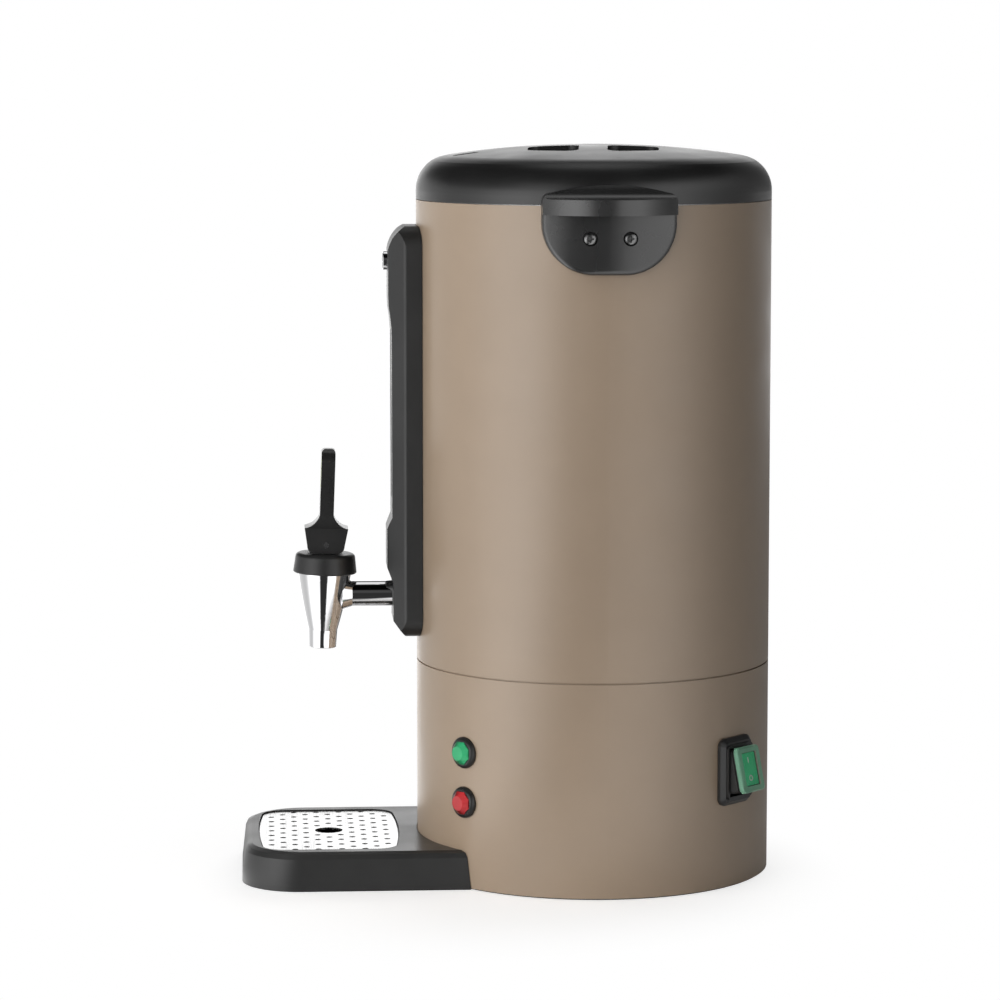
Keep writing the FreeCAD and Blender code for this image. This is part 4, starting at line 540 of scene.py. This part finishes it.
class URN_OT_tap(PieceOperator, bpy.types.Operator):
    """Finish the tap, its lever and the pieces on its shank, and wind its spring"""
    bl_idname = "urn.tap"
    bl_label = "Tap"

    def execute(self, context):
        body, inside = context.scene.urn_body, context.scene.urn_inside
        dress(chrome("Tap plating", body.chrome), "tap_body")
        dress(plastic("Bonnet plastic", body.plastic, 0.36), "tap_bonnet")
        dress(plastic("Lever plastic", body.plastic, 0.3), "tap_lever")
        dress(finish("Lime inlay plastic", body.inlay, 0.4), "lever_inlay")
        dress(chrome("Pin plating", body.chrome, 0.15), "lever_pin")
        metal = steel("Stem and spring steel", body.steel, 0.22)
        dress(metal, "tap_stem", "tap_spring")
        self.wind_spring(body, metal)
        dress(silicone("Valve cup silicone", inside.silicone), "seat_cup", "shank_gasket")
        dress(pale_plastic("Spacer plastic", inside.pale_plastic), "shank_spacer")
        dress(chrome("Shank nut plating", body.chrome, 0.2), "shank_nut")
        return {"FINISHED"}

    def wind_spring(self, body, metal):
        """Coil in the place of the plain sleeve that stands for the tap's spring."""
        corners = [corner.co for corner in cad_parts["tap_spring"].data.vertices]
        middle = sum(corner.z for corner in corners) / len(corners)
        ends = ([corner for corner in corners if corner.z < middle],
                [corner for corner in corners if corner.z > middle])
        low, high = (sum(end, Vector()) / len(end) for end in ends)
        axis = high - low
        reach = max((corner - low).cross(axis).length for corner in corners) / axis.length
        wire = body.spring_wire / 2
        spring = coil("spring_coil", low, high, reach - wire, wire, body.spring_turns)
        spring.data.materials.append(metal)
        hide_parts("tap_spring")
        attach(spring, "urn")
        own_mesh(spring)


class URN_OT_lamps(PieceOperator, bpy.types.Operator):
    """Finish the pilot lamps"""
    bl_idname = "urn.lamps"
    bl_label = "Pilot lamps"

    def execute(self, context):
        body, signal = context.scene.urn_body, context.scene.urn_signal
        dress(plastic("Lamp bezel plastic", body.plastic, 0.28, SMALL_GRAIN), "lamp_bezels")
        dress(lens("Green lens", signal.green), "green_lens")
        dress(lens("Red lens", signal.red), "red_lens")
        dress(steel("Lamp nut steel", body.steel), "lamp_nuts")
        return {"FINISHED"}


class URN_OT_switch(PieceOperator, bpy.types.Operator):
    """Finish the power switch, mark its rocker and cloud its splash cap"""
    bl_idname = "urn.switch"
    bl_label = "Power switch"

    def execute(self, context):
        body, signal = context.scene.urn_body, context.scene.urn_signal
        dress(plastic("Switch frame plastic", body.plastic, 0.34, SMALL_GRAIN), "switch_housing")
        dress(plastic("Switch boot rubber", body.plastic, 0.5, SMALL_GRAIN), "switch_boot")
        dress(finish("Green rocker plastic", signal.rocker, 0.45, SMALL_GRAIN, depth=10), "switch_rocker")
        dress(see_through("Clear splash cap", signal.cap, signal.window_cover), "switch_cap")
        self.cloud_cap(signal)
        self.mark_rocker(signal)
        return {"FINISHED"}

    def cloud_cap(self, signal):
        """Leaves the cap clear in front of the key, and milky round it."""
        place, width, height = front_face("switch_cap")
        cloudy = see_through("Milky cap wall", signal.cap, signal.cap_cover)
        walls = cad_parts["switch_cap"].data
        walls.materials.append(cloudy)
        for face in walls.polygons:
            face.material_index = 0 if abs(face.normal.dot(place.col[2].xyz)) > SQUARE_ON else 1
        key_width, key_height = front_face("switch_rocker")[1:]
        corner = signal.window_corner
        rim = thin_plate("cap_rim", rounded(width, height, 2 * corner), signal.mark_film,
                         hole=rounded(key_width + corner, key_height + corner, corner))
        rim.data.materials.append(cloudy)
        rim.matrix_world = place
        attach(rim, "rocker")

    def mark_rocker(self, signal):
        """Line above and ring below the middle of the key."""
        film = finish("Printed film", signal.mark, 0.5, SMALL_GRAIN, depth=5)
        front = front_face("switch_rocker")[0]
        height, line = signal.mark_height, signal.mark_line
        hole = height - 2 * line
        for name, outline, inner, rise in (
                ("mark_on", rounded(line, height, line / 2), None, signal.mark_rise),
                ("mark_off", rounded(height, height, height / 2), rounded(hole, hole, hole / 2),
                 -signal.mark_rise)):
            mark = thin_plate(name, outline, signal.mark_film, inner)
            mark.data.materials.append(film)
            mark.matrix_world = front @ Matrix.Translation((0, rise, 0))
            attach(mark, "rocker")


class URN_OT_inlet(PieceOperator, bpy.types.Operator):
    """Finish the power inlet"""
    bl_idname = "urn.inlet"
    bl_label = "Power inlet"

    def execute(self, context):
        body, inside = context.scene.urn_body, context.scene.urn_inside
        dress(plastic("Inlet plastic", body.plastic, 0.42), "inlet_socket")
        dress(finish("Contact brass", inside.brass, 0.25, stretch=LEVEL_LINES, depth=3, Metallic=1.0),
              "inlet_pins")
        dress(steel("Inlet screw steel", body.steel), "inlet_screws")
        return {"FINISHED"}


class URN_OT_tray(PieceOperator, bpy.types.Operator):
    """Finish the drip tray and its grid"""
    bl_idname = "urn.tray"
    bl_label = "Drip tray"

    def execute(self, context):
        body = context.scene.urn_body
        dress(plastic("Tray plastic", body.tray, 0.34), "drip_tray")
        dress(steel("Grid steel", body.grid, 0.24, stretch=(25.0, 2500.0, 2500.0)), "drip_grid")
        return {"FINISHED"}


class URN_OT_tank(PieceOperator, bpy.types.Operator):
    """Finish the tank, the riser tube, the basket and its cover"""
    bl_idname = "urn.tank"
    bl_label = "Tank and percolator"

    def execute(self, context):
        dress(steel("Tank steel", context.scene.urn_body.steel, 0.26), "inner_tank")
        dress(steel("Drawn aluminium", context.scene.urn_inside.aluminium, 0.32),
              "pump_tube", "coffee_basket", "basket_cover")
        return {"FINISHED"}


class URN_OT_heater(PieceOperator, bpy.types.Operator):
    """Finish the heater, the heat switches and the wiring"""
    bl_idname = "urn.heater"
    bl_label = "Heater and wiring"

    def execute(self, context):
        inside = context.scene.urn_inside
        dress(steel("Heater casting", inside.casting, 0.45, uneven=0.12),
              "heater_plate", "thermostat", "thermal_cutout")
        dress(steel("Heater sheath", inside.sheath, 0.4), "heater_element")
        dress(steel("Zinc plating", inside.zinc), "heater_clamp", "clamp_nuts", "sensor_nuts")
        dress(finish("Block ceramic", inside.ceramic, 0.35, depth=30), "terminal_block")
        dress(finish("Lead insulation", inside.leads, 0.5, SMALL_GRAIN), "wiring")
        return {"FINISHED"}


class URN_OT_foot(PieceOperator, bpy.types.Operator):
    """Finish the bottom plate, its screws and the foot ring"""
    bl_idname = "urn.foot"
    bl_label = "Bottom"

    def execute(self, context):
        body, inside = context.scene.urn_body, context.scene.urn_inside
        dress(steel("Bottom plate steel", inside.bottom, 0.4, stretch=(2000.0, 20.0, 20.0)), "base_plate")
        dress(steel("Bottom screw steel", body.steel), "base_screws")
        dress(finish("Foot rubber", inside.rubber, 0.7, depth=60, mottle=0.2), "foot_ring")
        return {"FINISHED"}


# Studio: places in it are given by degrees to the right of the camera, as the urn sees it, and in metres

# Soft lights: name of the power setting, degrees to the right, degrees up, width and height
SOFT_LIGHTS = (
    ("key", -52, 4, (2.0, 1.2)),
    ("high", -52, 35, (1.4, 1.0)),
    ("left", -110, 8, (1.0, 1.0)),
    ("front", -8, 9, (1.0, 1.0)),
    ("top", 0, 90, (1.4, 1.4)),
    ("back", 175, 20, (1.2, 1.2)))
LIGHT_DISTANCE = 2.0
LIGHT_AIM = 0.22            # height of the urn's middle

# Low light: degrees to the right, distance, height; width and height of the lamp; spread in degrees
LOW_TURN, LOW_DISTANCE, LOW_HEIGHT = -38, 1.0, 0.14
LOW_SIZE = (0.5, 0.12)
LOW_SPREAD = 20

# The urn's shadow on the floor: its middle, left of the urn and towards the camera, and where it fades
SHADOW_LEFT, SHADOW_NEAR = 0.08, 0.03
SHADOW_FADE = (0.10, 0.24)

# In reflections, the floor gives way to the surround between these distances from the urn's axis
FLOOR_FADE = (0.16, 0.28)
FLOOR_REACH = 6.0
TRAY_TO_TAP = 1.3           # how many times as far forward as the tap the tray reaches

# Strength of the surround in reflections, by degrees to the right, in level directions and higher ones
SURROUND_LOW = (
    (-180, 2.0), (-165, 2.1), (-155, 1.0), (-145, 0.8), (-120, 0.65), (-100, 0.6), (-88, 0.7),
    (-72, 1.4), (-55, 2.2), (-38, 2.4), (-27, 1.9), (-19, 0.9), (-16, 0.03), (15, 0.03), (19, 1.3),
    (50, 1.6), (65, 1.0), (80, 0.55), (100, 0.3), (150, 0.2), (158, 0.15), (166, 0.5), (175, 1.8),
    (180, 2.0))
SURROUND_MIDDLE = (
    (-180, 1.15), (-165, 0.5), (-150, 0.0), (-65, 0.0), (-52, 0.4), (-38, 1.0), (-22, 0.9),
    (-17, 0.1), (15, 0.05), (20, 0.7), (37, 1.2), (55, 1.5), (70, 1.3), (85, 0.8), (100, 0.45),
    (130, 0.14), (160, 0.15), (172, 1.0), (180, 1.1))
SURROUND_PEAK = 2.5         # strength of white in the ramps of both tables
SURROUND_HIGH = 0.02        # share of the middle's strength that is left above it

# Rise of a direction, as the sine of its elevation, where low gives way to middle and middle to high
MIDDLE_RISE = (0.12, 0.30)
HIGH_RISE = (0.50, 0.66)

# Bright patch above, behind the urn: its lean back and its rise, the cosines of its edge, its strength
PATCH_LEAN, PATCH_RISE = 0.34, 0.94
PATCH_EDGE = (0.94, 0.985)
PATCH_STRENGTH = 0.34       # as a share of the peak


def around(azimuth, distance, height):
    """Point round the body, with the azimuth measured from the tap's side."""
    return Vector((distance * math.sin(azimuth), -distance * math.cos(azimuth), height))


def soft_light(name, place, aim, size, power):
    """Rectangular lamp that faces a point; the surround gives the reflections instead."""
    lamp = bpy.data.lights.new(name, "AREA")
    lamp.shape = "RECTANGLE"
    lamp.size, lamp.size_y = size
    lamp.energy = power
    made = bpy.data.objects.new(name, lamp)
    made.location = place
    made.rotation_euler = (Vector(aim) - Vector(place)).to_track_quat("-Z", "Y").to_euler()
    made.visible_glossy = False
    bpy.context.scene.collection.objects.link(made)
    return lamp


def path_mask(tree, *rays):
    """1 for the named kinds of ray, 0 for the rest."""
    light_path = node(tree, "ShaderNodeLightPath").outputs
    total = light_path[rays[0]]
    for ray in rays[1:]:
        total = maths(tree, "MAXIMUM", total, light_path[ray])
    return total


def mix_shader(tree, share, first, second):
    return node(tree, "ShaderNodeMixShader", {0: share, 1: first.outputs[0], 2: second.outputs[0]})


def wall_ramp(tree, turn, table):
    """Strength round the walls, as a share of the peak, by the share of a whole turn."""
    walls = node(tree, "ShaderNodeValToRGB", {0: turn})
    stops = walls.color_ramp.elements
    while len(stops) < len(table):
        stops.new(0.5)
    for stop, (degrees, strength) in zip(stops, table):
        stop.position = degrees / 360 + 0.5
        stop.color = (*[strength / SURROUND_PEAK] * 3, 1.0)
    return walls.outputs["Color"]


def surround(tree, towards, azimuth):
    """Strength of the studio's walls in reflections, for a direction from the urn."""
    def along(aim):
        dot = node(tree, "ShaderNodeVectorMath", {0: towards, 1: aim}, operation="DOT_PRODUCT")
        return dot.outputs["Value"]

    def step(value, ends, low, high):
        return between(tree, value, *ends, low, high, curve="SMOOTHSTEP")

    angle = maths(tree, "ARCTAN2", along(around(azimuth + math.pi / 2, 1.0, 0.0)),
                  along(around(azimuth, 1.0, 0.0)))
    turn = between(tree, angle, -math.pi, math.pi)
    rise = along((0.0, 0.0, 1.0))
    walls = node(tree, "ShaderNodeMix", {0: step(rise, MIDDLE_RISE, 0.0, 1.0),
                                         2: wall_ramp(tree, turn, SURROUND_LOW),
                                         3: wall_ramp(tree, turn, SURROUND_MIDDLE)}).outputs[0]
    walls = maths(tree, "MULTIPLY", walls, step(rise, HIGH_RISE, 1.0, SURROUND_HIGH))
    patch = step(along(around(azimuth + math.pi, PATCH_LEAN, PATCH_RISE)), PATCH_EDGE, 0.0, PATCH_STRENGTH)
    return maths(tree, "MULTIPLY", maths(tree, "ADD", walls, patch), SURROUND_PEAK)


class URN_OT_stage(PieceOperator, bpy.types.Operator):
    """Set up the floor, the lights, the sky and the camera"""
    bl_idname = "urn.stage"
    bl_label = "Studio"

    def execute(self, context):
        scene, stage = context.scene, context.scene.urn_stage
        self.build_floor(stage)
        self.build_sky(scene, stage)
        self.place_lights(stage)
        self.place_camera(scene, stage)
        scene.view_settings.view_transform = "Standard"
        return {"FINISHED"}

    def build_floor(self, stage):
        """Pale floor that fades to white away from the urn, so that it keeps only a soft shadow."""
        form = bmesh.new()
        bmesh.ops.create_grid(form, x_segments=1, y_segments=1, size=FLOOR_REACH)
        floor = placed_mesh("floor", form)
        made, tree, shader = new_material("Studio floor")
        floor.data.materials.append(made)
        shader.inputs["Base Color"].default_value = (*stage.floor, 1.0)
        shader.inputs["Roughness"].default_value = 0.9
        shader.inputs["Specular IOR Level"].default_value = 0.0
        shader.inputs["Emission Color"].default_value = WHITE
        seen = path_mask(tree, "Is Camera Ray", "Is Transmission Ray")
        tree.links.new(maths(tree, "MULTIPLY", seen, stage.floor_lift), shader.inputs["Emission Strength"])

        place = on_object(tree)
        leftward, nearer = stage.azimuth - math.pi / 2, stage.azimuth
        shadow = around(leftward, SHADOW_LEFT, 0.0) + around(nearer, SHADOW_NEAR, 0.0)
        beside = node(tree, "ShaderNodeVectorMath", {0: place, 1: shadow}, operation="DISTANCE")
        fade = between(tree, beside.outputs["Value"], *SHADOW_FADE, curve="SMOOTHSTEP")
        white = node(tree, "ShaderNodeEmission", {"Strength": 1.0})
        plain = mix_shader(tree, maths(tree, "MULTIPLY", fade, seen), shader, white)

        reach = node(tree, "ShaderNodeVectorMath", {0: place}, operation="LENGTH")
        away = between(tree, reach.outputs["Value"], *FLOOR_FADE, curve="SMOOTHSTEP")
        tap_foot = (0.0, cad_box[0][1] / TRAY_TO_TAP, 0.0)
        from_tap = node(tree, "ShaderNodeVectorMath", {0: place, 1: tap_foot}, operation="SUBTRACT")
        strength = surround(tree, from_tap.outputs[0], stage.azimuth)
        walls = node(tree, "ShaderNodeEmission", {"Strength": strength})
        mirrored = maths(tree, "MULTIPLY", away, path_mask(tree, "Is Glossy Ray"))
        mixed = mix_shader(tree, mirrored, plain, walls)
        tree.links.new(mixed.outputs[0], tree.nodes["Material Output"].inputs["Surface"])

    def build_sky(self, scene, stage):
        """Even light from all round, seen as white, with the surround in reflections."""
        world = bpy.data.worlds.new("Studio sky")
        world.use_nodes = True
        tree = world.node_tree
        even = tree.nodes["Background"]
        even.inputs["Color"].default_value = WHITE
        even.inputs["Strength"].default_value = stage.sky
        white = node(tree, "ShaderNodeBackground", {"Color": WHITE, "Strength": 1.0})
        towards = node(tree, "ShaderNodeTexCoord").outputs["Generated"]
        strength = surround(tree, towards, stage.azimuth)
        walls = node(tree, "ShaderNodeBackground", {"Color": WHITE, "Strength": strength})
        lit = mix_shader(tree, path_mask(tree, "Is Glossy Ray"), even, walls)
        mixed = mix_shader(tree, path_mask(tree, "Is Camera Ray", "Is Transmission Ray"), lit, white)
        tree.links.new(mixed.outputs[0], tree.nodes["World Output"].inputs["Surface"])
        scene.world = world

    def place_lights(self, stage):
        """Soft lights round the urn, and a narrow one along the table that lights only the base."""
        for name, turn, rise, size in SOFT_LIGHTS:
            rise = math.radians(rise)
            place = around(stage.azimuth + math.radians(turn), LIGHT_DISTANCE * math.cos(rise),
                           LIGHT_AIM + LIGHT_DISTANCE * math.sin(rise))
            soft_light(f"{name}_light", place, (0.0, 0.0, LIGHT_AIM), size, getattr(stage, name))
        place = around(stage.azimuth + math.radians(LOW_TURN), LOW_DISTANCE, LOW_HEIGHT)
        low = soft_light("low_light", place, (0.0, 0.0, 0.0), LOW_SIZE, stage.low)
        low.spread = math.radians(LOW_SPREAD)

    def place_camera(self, scene, stage):
        camera = bpy.data.cameras.new("camera")
        camera.sensor_width = 36.0
        camera.lens = stage.focal
        made = bpy.data.objects.new("camera", camera)
        made.location = around(stage.azimuth, stage.distance, stage.height)
        turn = Matrix.Rotation(stage.azimuth + stage.yaw, 4, "Z")
        tilt = Matrix.Rotation(math.pi / 2 - stage.pitch, 4, "X")
        made.rotation_euler = (turn @ tilt).to_euler()
        scene.collection.objects.link(made)
        scene.camera = made


# Registration

SETTINGS = {"urn_body": BodySettings, "urn_signal": SignalSettings, "urn_inside": InsideSettings,
            "urn_stage": StageSettings}

PIECES = (URN_OT_shells, URN_OT_lid, URN_OT_handles, URN_OT_column, URN_OT_tap, URN_OT_lamps,
          URN_OT_switch, URN_OT_inlet, URN_OT_tray, URN_OT_tank, URN_OT_heater, URN_OT_foot,
          URN_OT_stage)


class URN_PT_panel(bpy.types.Panel):
    """List of the settings and of the operators"""
    bl_idname = "URN_PT_panel"
    bl_label = "Coffee urn"
    bl_space_type = "VIEW_3D"
    bl_region_type = "UI"
    bl_category = "Coffee urn"

    def draw(self, context):
        for name, group in SETTINGS.items():
            for setting in group.__annotations__:
                self.layout.prop(getattr(context.scene, name), setting)
        for piece in PIECES:
            self.layout.operator(piece.bl_idname)


CLASSES = (*SETTINGS.values(), *PIECES, URN_PT_panel)


def register():
    for cls in CLASSES:
        bpy.utils.register_class(cls)
    for name, group in SETTINGS.items():
        setattr(bpy.types.Scene, name, PointerProperty(type=group))


def unregister():
    for name in SETTINGS:
        delattr(bpy.types.Scene, name)
    for cls in reversed(CLASSES):
        bpy.utils.unregister_class(cls)


def main():
    register()
    for piece in PIECES:
        group, name = piece.bl_idname.split(".")
        getattr(getattr(bpy.ops, group), name)()


if __name__ == "__main__":
    main()
